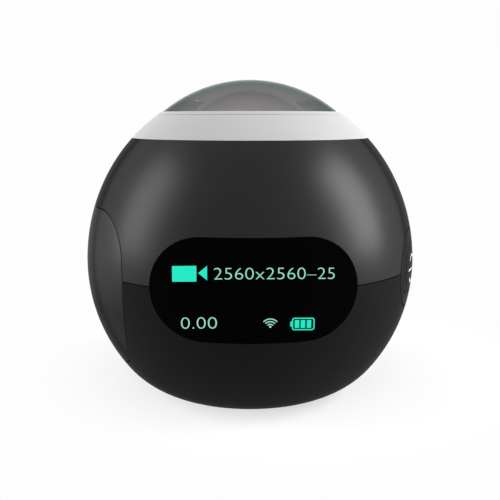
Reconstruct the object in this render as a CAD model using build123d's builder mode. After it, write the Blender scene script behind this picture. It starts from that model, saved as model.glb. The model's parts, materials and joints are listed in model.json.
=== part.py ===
from build123d import *

import os
from math import atan2, degrees, sqrt

# Ball-shaped 360 degree camera with one upward fisheye lens, in millimetres.
# X points to the viewer's right, Y away from the viewer and Z up, from the middle of the base.
# The display faces -Y, the side door -X and the keys +X.

# Outside of the body: a ball below the seam, a taller half ellipse above it
body_radius = 29.0
base_cut = 5.3
base_flat_radius = 11.0
crown_stretch = 1.9
wall = 1.8

# Top of the body: how far the ring starts below the full crown, and its land beside the dome
ring_drop = 9.25
ring_height = 4.45
ring_land = 0.22
deck_thickness = 1.6

# Fisheye front glass
dome_radius = 24.0
dome_edge_thickness = 1.6
dome_hollow_radius = 13.0
dome_hollow_opening = 10.1

# Display window and the screen behind it
window_length = 31.5
window_height = 15.9
window_thickness = 1.0
window_ledge = 1.2
screen_length = 26.5
screen_height = 14.6
screen_thickness = 1.4

# Key strip and its keys
strip_length = 32.4
strip_height = 13.6
strip_thickness = 1.0
key_radius = 4.2
key_travel = 0.3

# Side door
door_radius = 20.8
door_top_rise = 10.4
door_bottom_drop = 15.9
door_top_corner = 8.5
door_bottom_corner = 6.0
door_wall = 1.6
door_skirt_wall = 1.2

# Battery
battery_length = 30.0
battery_width = 24.0
battery_height = 8.0

# Boards
board_width = 31.0
board_thickness = 1.2
sensor_board_size = 24.0
sensor_board_thickness = 1.0

# Tripod socket: the inner wall of the standard quarter inch thread
thread_radius = 2.5
thread_depth = 5.6

# Memory card in a push-push slot
card_length = 15.0
card_width = 11.0
card_thickness = 1.0
card_push = 0.6

# Screws
screw_radius = 0.9
screw_head_radius = 1.5
screw_head_height = 1.2

# Gaps: round moving parts, between fixed parts, beside loose parts, and inside the walls
slip_gap = 0.2
joint_gap = 0.05
fit_gap = 0.1
inner_clearance = 0.3

# How far a cutting shape runs past what it cuts
overrun = 1.0

# Levels and places that follow from the sizes above
seam_height = body_radius - base_cut
crown_rise = body_radius + crown_stretch
ring_bottom = seam_height + crown_rise - ring_drop
ring_top = ring_bottom + ring_height
ring_share = (ring_top - seam_height) / crown_rise
dome_edge_radius = body_radius * sqrt(1 - ring_share**2) - ring_land
deck_bottom = ring_bottom - deck_thickness
dome_seat = ring_top - dome_edge_thickness
base_leftover = body_radius**2 - seam_height**2 - base_flat_radius**2
base_blend_radius = base_leftover / (2 * base_cut)
blend_angle = degrees(atan2(base_blend_radius - seam_height, base_flat_radius))
inner_radius = body_radius - wall
reach = body_radius + overrun
crown_weights = [1, sqrt(1 / 2), 1]
screw_pilot_radius = screw_radius + joint_gap
screw_pass_radius = screw_radius + fit_gap
head_pass_radius = screw_head_radius + fit_gap

# Port panel behind the side door
panel_sink = 11.4
panel_depth = body_radius - panel_sink
panel_thickness = 1.2
panel_inset = 0.3
panel_back = panel_depth - panel_thickness
seal_thickness = 0.4
skirt_end = panel_depth + seal_thickness + joint_gap

# Battery tray, and the shelf over it that carries the boards
door_sill = 2.9
tray_floor_thickness = 1.0
tray_wall = 1.0
battery_play = 0.3
battery_headroom = 0.2
shelf_thickness = 1.2
standoff_height = 1.0
tray_top = seam_height - door_bottom_drop + door_sill
tray_bottom = tray_top - tray_floor_thickness
shelf_bottom = tray_top + battery_height + battery_headroom
shelf_top = shelf_bottom + shelf_thickness
board_bottom = shelf_top + standoff_height
board_top = board_bottom + board_thickness
board_left = fit_gap - panel_back
battery_left = battery_play - panel_depth
battery_right = battery_left + battery_length

# Four posts join the shelf to the upper shell, four more stand on the lower shell's floor
post_inset = 4.8
post_circle_radius = inner_radius - post_inset
post_radius = 2.0
post_rise = 1.2
post_angles = (-45, -128, 50, 120)
post_top = seam_height + post_rise
base_screw_spacing = 12.2
floor_thickness = 3.4

# Screen and keys: how deep their boards lie in the body
screen_corner = sqrt((screen_length / 2) ** 2 + (screen_height / 2) ** 2)
screen_front = sqrt(inner_radius**2 - screen_corner**2) - inner_clearance
screen_back = screen_front - screen_thickness
key_board_sink = 8.4
key_board_thickness = 1.0
key_board_front = body_radius - key_board_sink
key_board_back = key_board_front - key_board_thickness
upright_thickness = 1.0
key_upright_back = key_board_back - upright_thickness
board_length = key_upright_back - inner_clearance - board_left
board_middle = board_left + board_length / 2
key_pitch = (strip_length - strip_height) / 2

# Lens group: how far each seat lies under the dome's seat
flange_height = dome_seat - ring_bottom
second_drop = 6.6
fourth_drop = 13.2
stop_drop = 15.0
rear_drop = 15.6
barrel_drop = 18.2
second_seat = dome_seat - second_drop
fourth_seat = dome_seat - fourth_drop
stop_seat = dome_seat - stop_drop
rear_lip = dome_seat - rear_drop
barrel_bottom = dome_seat - barrel_drop
barrel_radius = 10.6
barrel_middle_radius = 8.4
barrel_nose_radius = 6.0
lens_back_gap = 2.8
sensor_board_top = barrel_bottom - lens_back_gap
sensor_board_bottom = sensor_board_top - sensor_board_thickness
lens_screw_spacing = 17.4
ring_peg_radius = 0.8
ring_peg_length = 1.5
ring_peg_inset = 2.7
ring_peg_circle = dome_edge_radius + ring_peg_inset
spacer_spacing = 20.4

front_plane = Plane(origin=(0, 0, seam_height), x_dir=(1, 0, 0), z_dir=(0, -1, 0))
door_plane = Plane(origin=(0, 0, seam_height), x_dir=(0, -1, 0), z_dir=(-1, 0, 0))
key_plane = Plane(origin=(0, 0, seam_height), x_dir=(0, 1, 0), z_dir=(1, 0, 0))
standing = (Align.CENTER, Align.CENTER, Align.MIN)
hanging = (Align.CENTER, Align.CENTER, Align.MAX)
outward = (Align.MIN, Align.CENTER, Align.MIN)

os.makedirs("parts", exist_ok=True)


def write(piece: BuildPart, name: str) -> None:
    """Label a finished piece and write its STEP file."""
    piece.part.label = name
    export_step(piece.part, f"parts/{name}.step")


def sag(radius: float, opening: float) -> float:
    """Depth of a round surface across an opening of the given radius."""
    return radius - sqrt(radius**2 - opening**2)


def body_solid(inset: float) -> Part:
    """The whole body turned from its outline, moved inward by inset."""
    ball = body_radius - inset
    blend = base_blend_radius - inset
    top = seam_height + crown_rise - inset
    with BuildPart() as body:
        with BuildSketch(Plane.XZ):
            with BuildLine():
                Line((0, inset), (base_flat_radius, inset))
                CenterArc((base_flat_radius, base_blend_radius), blend, -90, 90 + blend_angle)
                CenterArc((0, seam_height), ball, blend_angle, -blend_angle)
                Bezier((ball, seam_height), (ball, top), (0, top), weights=crown_weights)
                Line((0, top), (0, inset))
            make_face()
        revolve(axis=Axis.Z)
    return body.part


def slot_outline(plane: Plane, length: float, height: float, inset: float) -> Sketch:
    """A stadium outline moved inward by inset."""
    with BuildSketch(plane) as outline:
        SlotOverall(length - 2 * inset, height - 2 * inset)
    return outline.sketch


def door_outline(start: float, inset: float) -> Sketch:
    """The side door's outline, moved inward by inset, on a plane start away from the axis."""
    radius = door_radius - inset
    top = door_top_rise - inset
    bottom = door_bottom_drop - inset
    with BuildSketch(door_plane.offset(start)) as outline:
        Circle(radius)
        with Locations((0, (top - bottom) / 2)):
            Rectangle(2 * radius, top + bottom, mode=Mode.INTERSECT)
        fillet(outline.vertices().group_by(Axis.Y)[-1], door_top_corner - inset)
        fillet(outline.vertices().group_by(Axis.Y)[0], door_bottom_corner - inset)
    return outline.sketch


def skin_patch(outline: Sketch, thickness: float) -> Part:
    """The outer skin of the body inside an outline."""
    with BuildPart() as patch:
        extrude(outline, amount=reach)
        add(body_solid(0), mode=Mode.INTERSECT)
        add(body_solid(thickness), mode=Mode.SUBTRACT)
    return patch.part


def skin_recess(outline: Sketch, depth: float) -> Part:
    """A cutter that sinks an outline into the body's surface."""
    with BuildPart() as recess:
        extrude(outline, amount=reach)
        add(body_solid(depth), mode=Mode.SUBTRACT)
    return recess.part


def cut_body_openings() -> None:
    """Cut the window, the key strip and the door out of the shell that is being built."""
    window = slot_outline(front_plane, window_length, window_height, 0)
    strip = slot_outline(key_plane, strip_length, strip_height, 0)
    add(skin_recess(window, window_thickness + joint_gap), mode=Mode.SUBTRACT)
    add(skin_recess(strip, strip_thickness + joint_gap), mode=Mode.SUBTRACT)
    window_hole = slot_outline(
        front_plane.offset(screen_back), window_length, window_height, window_ledge
    )
    strip_hole = slot_outline(
        key_plane.offset(key_board_back), strip_length, strip_height, window_ledge
    )
    extrude(window_hole, amount=reach - screen_back, mode=Mode.SUBTRACT)
    extrude(strip_hole, amount=reach - key_board_back, mode=Mode.SUBTRACT)
    extrude(door_outline(panel_back, 0), amount=reach - panel_back, mode=Mode.SUBTRACT)


def post_places(height: float) -> list[Location]:
    """The centres of the four shelf posts at a height, each turned to face outwards."""
    places = []
    for angle in post_angles:
        spot = Vector(post_circle_radius, 0, height).rotate(Axis.Z, angle)
        places.append(Location((spot.X, spot.Y, spot.Z), (0, 0, angle)))
    return places


def square_places(spacing: float, height: float) -> list[Vector]:
    """Four centres at the corners of a square, at a height."""
    half = spacing / 2
    return [Vector(x, y, height) for x in (-half, half) for y in (-half, half)]


def drive_slot(head_radius: float) -> None:
    """Cut a crossed drive into the screw heads at the current places, from above."""
    Box(head_radius, drive_width, 2 * drive_depth, mode=Mode.SUBTRACT)
    Box(drive_width, head_radius, 2 * drive_depth, mode=Mode.SUBTRACT)


drive_width = 0.4
drive_depth = 0.4

# Lower shell: lap lip at the seam, thick floor with the socket boss and the screw holes
floor_radius = 10.8
pad_outer_radius = 10.3
pad_inner_radius = 5.7
pad_thickness = 0.8
socket_radius = 4.6
socket_recess = 0.2
socket_end = 0.8
socket_boss_wall = 1.8
lip_height = 1.0
lip_radius = body_radius - wall / 2 - joint_gap
socket_top = socket_recess + thread_depth + socket_end
head_seat = pad_thickness + screw_head_height

with BuildPart() as lower_shell:
    add(body_solid(0))
    add(body_solid(wall), mode=Mode.SUBTRACT)
    split(bisect_by=Plane.XY.offset(seam_height), keep=Keep.BOTTOM)
    Cylinder(floor_radius, floor_thickness, align=standing)
    Cylinder(socket_radius + socket_boss_wall, socket_top + socket_end, align=standing)
    with BuildSketch(Plane.XY.offset(seam_height)):
        Circle(lip_radius)
        Circle(inner_radius, mode=Mode.SUBTRACT)
    extrude(amount=lip_height)
    cut_body_openings()
    with BuildSketch(Plane.XY):
        Circle(pad_outer_radius + fit_gap)
        Circle(pad_inner_radius - fit_gap, mode=Mode.SUBTRACT)
    extrude(amount=pad_thickness, mode=Mode.SUBTRACT)
    Cylinder(
        socket_radius + joint_gap, socket_top + joint_gap, align=standing, mode=Mode.SUBTRACT
    )
    with Locations(*square_places(base_screw_spacing, 0)):
        Cylinder(head_pass_radius, head_seat, align=standing, mode=Mode.SUBTRACT)
        Cylinder(screw_pass_radius, floor_thickness, align=standing, mode=Mode.SUBTRACT)
write(lower_shell, "lower_shell")

# Upper shell: bosses and ribs that grow out of the crown, and the deck that carries the lens
rib_thickness = 1.2
pilot_depth = 6.0
lens_boss_radius = 1.6
lens_boss_height = 2.2
rebate_radius = lip_radius + fit_gap
deck_hole_radius = barrel_radius + fit_gap

with BuildPart() as crown_hollow:
    add(body_solid(wall))
    split(bisect_by=Plane.XY.offset(deck_bottom), keep=Keep.BOTTOM)

with BuildPart() as crown_skin:
    add(body_solid(0))
    add(crown_hollow.part, mode=Mode.SUBTRACT)
    split(bisect_by=Plane.XY.offset(ring_bottom), keep=Keep.BOTTOM)
    split(bisect_by=Plane.XY.offset(seam_height), keep=Keep.TOP)

with BuildPart() as upper_shell:
    with Locations(*post_places(post_top)):
        Cylinder(post_radius, crown_rise, align=standing)
    with Locations(*post_places(post_top)):
        Box(body_radius - post_circle_radius, rib_thickness, crown_rise, align=outward)
    add(body_solid(wall / 2), mode=Mode.INTERSECT)
    add(crown_skin.part)
    with Locations(*square_places(lens_screw_spacing, deck_bottom)):
        Cylinder(lens_boss_radius, lens_boss_height, align=hanging)
    with Locations((0, 0, seam_height)):
        Cylinder(rebate_radius, lip_height + fit_gap, align=standing, mode=Mode.SUBTRACT)
    with Locations((0, 0, ring_bottom)):
        Cylinder(
            deck_hole_radius, ring_bottom - seam_height, align=hanging, mode=Mode.SUBTRACT
        )
    with Locations(*post_places(post_top)):
        Cylinder(screw_pilot_radius, pilot_depth, align=standing, mode=Mode.SUBTRACT)
    with Locations(*square_places(lens_screw_spacing, ring_bottom)):
        Cylinder(
            screw_pilot_radius,
            deck_thickness + lens_boss_height + overrun,
            align=hanging,
            mode=Mode.SUBTRACT,
        )
    with Locations((0, 0, ring_bottom)):
        with PolarLocations(ring_peg_circle, 4):
            Cylinder(ring_peg_radius + fit_gap, 2 * deck_thickness, mode=Mode.SUBTRACT)
    cut_body_openings()
write(upper_shell, "upper_shell")

# Trim ring: follows the crown, with a fine lip line under its top edge and pegs into the deck
ring_bore_radius = dome_edge_radius + joint_gap
lip_line_drop = 0.75
lip_line_width = 0.2
lip_line_depth = 0.15

with BuildPart() as ring_skin:
    add(body_solid(0))
    add(body_solid(lip_line_depth), mode=Mode.SUBTRACT)
    split(bisect_by=Plane.XY.offset(ring_top - lip_line_drop), keep=Keep.BOTTOM)
    split(bisect_by=Plane.XY.offset(ring_top - lip_line_drop - lip_line_width), keep=Keep.TOP)

with BuildPart() as trim_ring:
    add(body_solid(0))
    split(bisect_by=Plane.XY.offset(ring_bottom), keep=Keep.TOP)
    split(bisect_by=Plane.XY.offset(ring_top), keep=Keep.BOTTOM)
    with Locations((0, 0, ring_bottom)):
        Cylinder(ring_bore_radius, ring_height, align=standing, mode=Mode.SUBTRACT)
    add(ring_skin.part, mode=Mode.SUBTRACT)
    with Locations((0, 0, ring_bottom)):
        with PolarLocations(ring_peg_circle, 4):
            Cylinder(ring_peg_radius, ring_peg_length, align=hanging)
write(trim_ring, "trim_ring")

# Lens barrel: a flange under the dome, then three bores for the elements below it
flange_opening = dome_hollow_opening
flange_step = 2.6
second_radius = 9.2
third_radius = 6.7
stop_radius = 5.1
rear_radius = 4.3
rear_lip_radius = 3.6
seal_groove_inset = 1.05
seal_groove_radius = dome_edge_radius - seal_groove_inset
seal_groove_width = 1.1
seal_groove_depth = 0.8
barrel_upper_drop = 7.6
barrel_middle_drop = 14.8
second_bore = second_radius + joint_gap
third_bore = third_radius + joint_gap
stop_bore = stop_radius + joint_gap
rear_bore = rear_radius + joint_gap
upper_end = dome_seat - barrel_upper_drop
middle_end = dome_seat - barrel_middle_drop

with BuildPart() as lens_barrel:
    with BuildSketch(Plane.XZ):
        with BuildLine():
            Polyline(
                (flange_opening, dome_seat),
                (dome_edge_radius, dome_seat),
                (dome_edge_radius, ring_bottom),
                (barrel_radius, ring_bottom),
                (barrel_radius, upper_end),
                (barrel_middle_radius, upper_end),
                (barrel_middle_radius, middle_end),
                (barrel_nose_radius, middle_end),
                (barrel_nose_radius, barrel_bottom),
                (rear_bore, barrel_bottom),
                (rear_bore, rear_lip),
                (rear_lip_radius, rear_lip),
                (rear_lip_radius, stop_seat),
                (stop_bore, stop_seat),
                (stop_bore, fourth_seat),
                (third_bore, fourth_seat),
                (third_bore, second_seat),
                (second_bore, second_seat),
                (second_bore, dome_seat - flange_step),
                (flange_opening, dome_seat - flange_step),
                close=True,
            )
        make_face()
    revolve(axis=Axis.Z)
    with BuildSketch(Plane.XY.offset(dome_seat)):
        Circle(seal_groove_radius + seal_groove_width / 2)
        Circle(seal_groove_radius - seal_groove_width / 2, mode=Mode.SUBTRACT)
    extrude(amount=-seal_groove_depth, mode=Mode.SUBTRACT)
    with Locations(*square_places(lens_screw_spacing, dome_seat)):
        Cylinder(
            head_pass_radius, screw_head_height + fit_gap, align=hanging, mode=Mode.SUBTRACT
        )
        Cylinder(screw_pass_radius, flange_height, align=hanging, mode=Mode.SUBTRACT)
write(lens_barrel, "lens_barrel")


def lens_element(
    radius: float, seat: float, edge: float, top: tuple[float, float], under: tuple[float, float]
) -> Part:
    """One glass: an edge cylinder on a seat, with a top and an under surface.

    Each surface is a radius and an opening. A negative radius is a hollow surface.
    """
    rim = seat + edge
    top_sag = sag(abs(top[0]), top[1]) * (1 if top[0] > 0 else -1)
    under_sag = sag(abs(under[0]), under[1]) * (1 if under[0] > 0 else -1)
    top_middle = sag(abs(top[0]), top[1] / 2) * (1 if top[0] > 0 else -1)
    under_middle = sag(abs(under[0]), under[1] / 2) * (1 if under[0] > 0 else -1)
    top_apex = rim + top_sag
    under_apex = seat - under_sag
    with BuildPart() as glass:
        with BuildSketch(Plane.XZ):
            with BuildLine():
                Line((0, under_apex), (0, top_apex))
                ThreePointArc((0, top_apex), (top[1] / 2, top_apex - top_middle), (top[1], rim))
                if top[1] < radius:
                    Line((top[1], rim), (radius, rim))
                Line((radius, rim), (radius, seat))
                Line((radius, seat), (under[1], seat))
                ThreePointArc(
                    (under[1], seat), (under[1] / 2, under_apex + under_middle), (0, under_apex)
                )
            make_face()
        revolve(axis=Axis.Z)
    return glass.part


# Dome: the front glass, round outside and deeply hollow inside
with BuildPart() as dome_lens:
    add(
        lens_element(
            dome_edge_radius,
            dome_seat,
            dome_edge_thickness,
            (dome_radius, dome_edge_radius),
            (-dome_hollow_radius, dome_hollow_opening),
        )
    )
write(dome_lens, "dome_lens")

# Seal ring in the flange's groove
seal_section_radius = 0.4
with BuildPart() as dome_seal:
    with Locations((0, 0, dome_seat - seal_section_radius)):
        Torus(seal_groove_radius, seal_section_radius)
write(dome_seal, "dome_seal")

# Second element and the threaded ring that holds it
second_edge = 2.4
second_land_radius = 8.4
second_top_radius = 17.0
second_hollow_radius = 8.0
second_hollow_opening = 6.7
retainer_height = 1.0
with BuildPart() as second_lens:
    add(
        lens_element(
            second_radius,
            second_seat,
            second_edge,
            (second_top_radius, second_land_radius),
            (-second_hollow_radius, second_hollow_opening),
        )
    )
write(second_lens, "second_lens")

with BuildPart() as lens_retainer:
    with BuildSketch(Plane.XY.offset(second_seat + second_edge)):
        Circle(second_radius)
        Circle(second_land_radius + fit_gap, mode=Mode.SUBTRACT)
        Rectangle(2 * second_bore, retainer_height, mode=Mode.SUBTRACT)
    extrude(amount=retainer_height)
    with BuildSketch(Plane.XY.offset(second_seat + second_edge)):
        Circle(second_radius)
        Circle(second_land_radius + fit_gap, mode=Mode.SUBTRACT)
    extrude(amount=retainer_height / 2)
write(lens_retainer, "lens_retainer")

# Third and fourth elements with the spacer between them
fourth_edge = 2.2
fourth_curve_radius = 14.0
fourth_opening = 5.0
spacer_ring_height = 1.0
spacer_ring_opening = 5.2
third_edge = 2.4
third_top_radius = 30.0
third_top_opening = 6.2
third_hollow_radius = 7.0
third_hollow_opening = 4.6
third_seat = fourth_seat + fourth_edge + spacer_ring_height
with BuildPart() as fourth_lens:
    add(
        lens_element(
            third_radius,
            fourth_seat,
            fourth_edge,
            (fourth_curve_radius, fourth_opening),
            (fourth_curve_radius, fourth_opening),
        )
    )
write(fourth_lens, "fourth_lens")

with BuildPart() as lens_spacer:
    with BuildSketch(Plane.XY.offset(fourth_seat + fourth_edge)):
        Circle(third_radius)
        Circle(spacer_ring_opening, mode=Mode.SUBTRACT)
    extrude(amount=spacer_ring_height)
write(lens_spacer, "lens_spacer")

with BuildPart() as third_lens:
    add(
        lens_element(
            third_radius,
            third_seat,
            third_edge,
            (third_top_radius, third_top_opening),
            (-third_hollow_radius, third_hollow_opening),
        )
    )
write(third_lens, "third_lens")

# Aperture stop: a thin disc whose hole widens downwards
stop_thickness = 0.3
stop_opening = 1.8
with BuildPart() as aperture_stop:
    with Locations((0, 0, stop_seat)):
        Cylinder(stop_radius, stop_thickness, align=standing)
        Cylinder(stop_opening, stop_thickness, align=standing, mode=Mode.SUBTRACT)
    stop_rims = aperture_stop.edges().filter_by(GeomType.CIRCLE)
    chamfer(stop_rims.sort_by(SortBy.RADIUS)[:2].sort_by(Axis.Z)[0], stop_thickness / 2)
write(aperture_stop, "aperture_stop")

# Rear element, held from below by its own ring
rear_edge = 1.6
rear_curve_radius = 12.0
rear_opening = 3.4
rear_retainer_height = 0.8
rear_seat = rear_lip - rear_edge
with BuildPart() as rear_lens:
    add(
        lens_element(
            rear_radius,
            rear_seat,
            rear_edge,
            (rear_curve_radius, rear_opening),
            (rear_curve_radius, rear_opening),
        )
    )
write(rear_lens, "rear_lens")

with BuildPart() as rear_retainer:
    with BuildSketch(Plane.XY.offset(rear_seat)):
        Circle(rear_radius)
        Circle(rear_opening + fit_gap, mode=Mode.SUBTRACT)
    extrude(amount=-rear_retainer_height)
write(rear_retainer, "rear_retainer")

# Screws that hold the barrel's flange on the deck
lens_screw_length = 4.0
lens_head_seat = dome_seat - screw_head_height - fit_gap
with BuildPart() as lens_screws:
    with Locations(*square_places(lens_screw_spacing, lens_head_seat)):
        Cylinder(screw_head_radius, screw_head_height, align=standing)
        Cylinder(screw_radius, lens_screw_length, align=hanging)
    with Locations(*square_places(lens_screw_spacing, lens_head_seat + screw_head_height)):
        drive_slot(screw_head_radius)
write(lens_screws, "lens_screws")

# Sensor holder: the barrel's nose stands in its tube, the sensor in a pocket under it
holder_size = 16.0
holder_base_height = 1.8
holder_tube_wall = 1.4
holder_tube_height = 4.0
sensor_size = 8.6
sensor_height = 1.1
light_hole_radius = 4.0
filter_size = 8.4
filter_thickness = 0.3
holder_base_top = sensor_board_top + holder_base_height
with BuildPart() as sensor_holder:
    with BuildSketch(Plane.XY.offset(sensor_board_top)):
        RectangleRounded(holder_size, holder_size, holder_tube_wall)
    extrude(amount=holder_base_height)
    with Locations((0, 0, holder_base_top)):
        Cylinder(
            barrel_nose_radius + joint_gap + holder_tube_wall, holder_tube_height, align=standing
        )
        Cylinder(
            barrel_nose_radius + joint_gap,
            holder_tube_height,
            align=standing,
            mode=Mode.SUBTRACT,
        )
    with Locations((0, 0, sensor_board_top)):
        Box(
            sensor_size + inner_clearance,
            sensor_size + inner_clearance,
            sensor_height + slip_gap,
            align=standing,
            mode=Mode.SUBTRACT,
        )
        Cylinder(light_hole_radius, holder_base_height, align=standing, mode=Mode.SUBTRACT)
write(sensor_holder, "sensor_holder")

with BuildPart() as filter_glass:
    with Locations((0, 0, holder_base_top)):
        Box(filter_size, filter_size, filter_thickness, align=standing)
write(filter_glass, "filter_glass")

# Image sensor: a carrier with a raised light-sensitive face
sensor_face_share = 0.8
sensor_face_step = 0.3
with BuildPart() as image_sensor:
    with Locations((0, 0, sensor_board_top)):
        Box(sensor_size, sensor_size, sensor_height - sensor_face_step, align=standing)
    with Locations((0, 0, sensor_board_top + sensor_height)):
        Box(
            sensor_size * sensor_face_share,
            sensor_size * sensor_face_share,
            sensor_face_step,
            align=hanging,
        )
write(image_sensor, "image_sensor")

# Sensor board on brass spacers that stand on the main board
stud_radius = 0.8
stud_length = 2.0
spacer_radius = 1.6
spacer_thread_depth = 2.4
board_corner_radius = 1.5
board_hole_radius = stud_radius + fit_gap
stud_pilot_radius = stud_radius + joint_gap
with BuildPart() as sensor_board:
    with BuildSketch(Plane.XY.offset(sensor_board_bottom)):
        RectangleRounded(sensor_board_size, sensor_board_size, board_corner_radius)
        with Locations(*square_places(spacer_spacing, 0)):
            Circle(board_hole_radius, mode=Mode.SUBTRACT)
    extrude(amount=sensor_board_thickness)
write(sensor_board, "sensor_board")

with BuildPart() as board_spacers:
    with Locations(*square_places(spacer_spacing, board_top)):
        Cylinder(spacer_radius, sensor_board_bottom - board_top, align=standing)
        Cylinder(stud_radius, stud_length, align=hanging)
    with Locations(*square_places(spacer_spacing, sensor_board_bottom)):
        Cylinder(
            stud_pilot_radius, spacer_thread_depth, align=hanging, mode=Mode.SUBTRACT
        )
write(board_spacers, "board_spacers")

with BuildPart() as board_screws:
    with Locations(*square_places(spacer_spacing, sensor_board_top)):
        Cylinder(screw_head_radius, screw_head_height, align=standing)
        Cylinder(
            stud_radius, sensor_board_thickness + spacer_thread_depth / 2, align=hanging
        )
    with Locations(*square_places(spacer_spacing, sensor_board_top + screw_head_height)):
        drive_slot(screw_head_radius)
write(board_screws, "board_screws")

# Main board with room for the four shelf posts
post_notch_radius = post_radius + inner_clearance
with BuildPart() as main_board:
    with BuildSketch(Plane.XY.offset(board_bottom)):
        with Locations((board_middle, 0)):
            RectangleRounded(board_length, board_width, board_corner_radius)
        with Locations(*post_places(0)):
            Circle(post_notch_radius, mode=Mode.SUBTRACT)
        with Locations(*square_places(spacer_spacing, 0)):
            Circle(board_hole_radius, mode=Mode.SUBTRACT)
    extrude(amount=board_thickness)
write(main_board, "main_board")

# Chips on the main board
processor_x = 6.0
processor_size = 11.0
processor_height = 1.1
processor_lid_share = 0.75
processor_lid_height = 0.3
memory_x = 3.0
memory_spread = 21.0
memory_length = 8.0
memory_width = 4.6
memory_height = 1.0
with BuildPart() as processor:
    with Locations((processor_x, 0, board_top)):
        Box(
            processor_size,
            processor_size,
            processor_height - processor_lid_height,
            align=standing,
        )
        with Locations((0, 0, processor_height)):
            Box(
                processor_size * processor_lid_share,
                processor_size * processor_lid_share,
                processor_lid_height,
                align=hanging,
            )
write(processor, "processor")

with BuildPart() as memory_chips:
    with Locations((memory_x, 0, board_top)):
        with GridLocations(memory_length, memory_spread, 1, 2):
            Box(memory_length, memory_width, memory_height, align=standing)
write(memory_chips, "memory_chips")

# Wireless module, shielded supply and beeper
module_width = 5.5
module_length = 11.4
module_x = board_left + board_length - inner_clearance - module_width / 2
module_y = 2.8
module_base_height = 0.8
module_lid_height = 1.2
module_lid_length_share = 0.7
can_length = 8.0
can_y = -8.0
can_height = 2.0
can_wall = 0.3
beeper_radius = 2.2
beeper_height = 1.8
beeper_x = -4.5
beeper_y = -10.4
beeper_hole_radius = 0.5
with BuildPart() as wireless_module:
    with Locations((module_x, module_y, board_top)):
        Box(module_width, module_length, module_base_height, align=standing)
        with Locations((0, 0, module_base_height)):
            Box(
                module_width - 2 * can_wall,
                module_length * module_lid_length_share,
                module_lid_height,
                align=standing,
            )
write(wireless_module, "wireless_module")

with BuildPart() as shield_can:
    with Locations((module_x, can_y, board_top)):
        Box(module_width, can_length, can_height, align=standing)
        Box(
            module_width - 2 * can_wall,
            can_length - 2 * can_wall,
            can_height - can_wall,
            align=standing,
            mode=Mode.SUBTRACT,
        )
write(shield_can, "shield_can")

with BuildPart() as beeper:
    with Locations((beeper_x, beeper_y, board_top)):
        Cylinder(beeper_radius, beeper_height, align=standing)
        with Locations((0, 0, beeper_height)):
            Cylinder(beeper_hole_radius, beeper_height, mode=Mode.SUBTRACT)
write(beeper, "beeper")

# Sockets on the main board for the three flat cables
socket_length = 9.0
socket_depth = 2.2
socket_height = 1.2
socket_edge_gap = 0.3
flex_thickness = 0.2
flex_width = 8.0
key_flex_width = 4.0
key_socket_y = 11.8
socket_y = board_width / 2 - socket_edge_gap - socket_depth / 2
key_socket_x = board_left + board_length - socket_edge_gap - socket_depth / 2
socket_mouth = board_top + socket_height
with BuildPart() as board_sockets:
    with Locations((0, 0, board_top)):
        with GridLocations(socket_length, 2 * socket_y, 1, 2):
            Box(socket_length, socket_depth, socket_height, align=standing)
    with Locations((key_socket_x, key_socket_y, board_top)):
        Box(socket_depth, key_flex_width + can_wall, socket_height, align=standing)
write(board_sockets, "board_sockets")


def flat_cable(plane: Plane, width: float, bend: float, points: list[tuple[float, float]]) -> Part:
    """A flat cable whose middle line runs through points of a plane, as wide as stated."""
    with BuildPart() as cable:
        with BuildSketch(plane):
            with BuildLine():
                FilletPolyline(*points, radius=bend)
            trace(line_width=flex_thickness)
        extrude(amount=width / 2, both=True)
    return cable.part


flex_bend = 1.0
flex_inlet = 2.6
cable_plane = Plane(origin=(0, 0, 0), x_dir=(0, 1, 0), z_dir=(1, 0, 0))
under_sensor_board = sensor_board_bottom - flex_thickness / 2
with BuildPart() as sensor_flex:
    add(
        flat_cable(
            cable_plane,
            flex_width,
            flex_bend,
            [
                (sensor_board_size / 2 - flex_inlet, under_sensor_board),
                (socket_y, under_sensor_board),
                (socket_y, socket_mouth),
            ],
        )
    )
write(sensor_flex, "sensor_flex")

# Inner frame: port panel with its well, battery tray, shelf, uprights, posts and standoffs
well_wall = 0.8
well_inset = slip_gap + door_skirt_wall + inner_clearance
shelf_inset = 2.6
shelf_radius = inner_radius - shelf_inset
upright_margin = 0.9
key_upright_width = 28.0
key_upright_drop = 6.2
key_upright_rise = 5.5
standoff_radius = 1.9
frame_inset = wall + inner_clearance
tray_inner_width = battery_width + 2 * battery_play
contact_room = 0.6
end_wall_left = battery_right + contact_room
end_wall_right = end_wall_left + tray_wall
tray_length = end_wall_right + panel_depth
tray_middle = (end_wall_right - panel_depth) / 2
tray_outer_width = tray_inner_width + 2 * tray_wall
contact_count = 3
contact_pitch = 4.0
contact_width = 1.5
contact_thickness = 0.2
contact_x = end_wall_left - contact_thickness / 2
upright_front = screen_back - upright_thickness
shelf_span = key_board_back + panel_back
shelf_depth = shelf_radius + screen_back
base_pilot_depth = 4.0
stud_pilot_depth = 2.0

# Ports: size of each mouth and its place across the panel
port_depth = 5.6
usb_width = 7.6
usb_height = 2.7
usb_y = -11.4
hdmi_width = 6.6
hdmi_height = 3.0
hdmi_y = 11.4
port_wall = 0.35
card_slot_wall = 0.3
card_slot_side = 1.2
card_slot_height = card_thickness + 2 * card_slot_wall + 2 * fit_gap
card_stand_out = 1.2
card_bottom = board_top + card_slot_wall + fit_gap
card_left = -panel_depth - card_stand_out
card_right = card_left + card_length
slot_end = card_right + card_push + slip_gap + card_slot_wall
usb_middle = board_top + usb_height / 2
hdmi_middle = board_top + hdmi_height / 2

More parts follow.
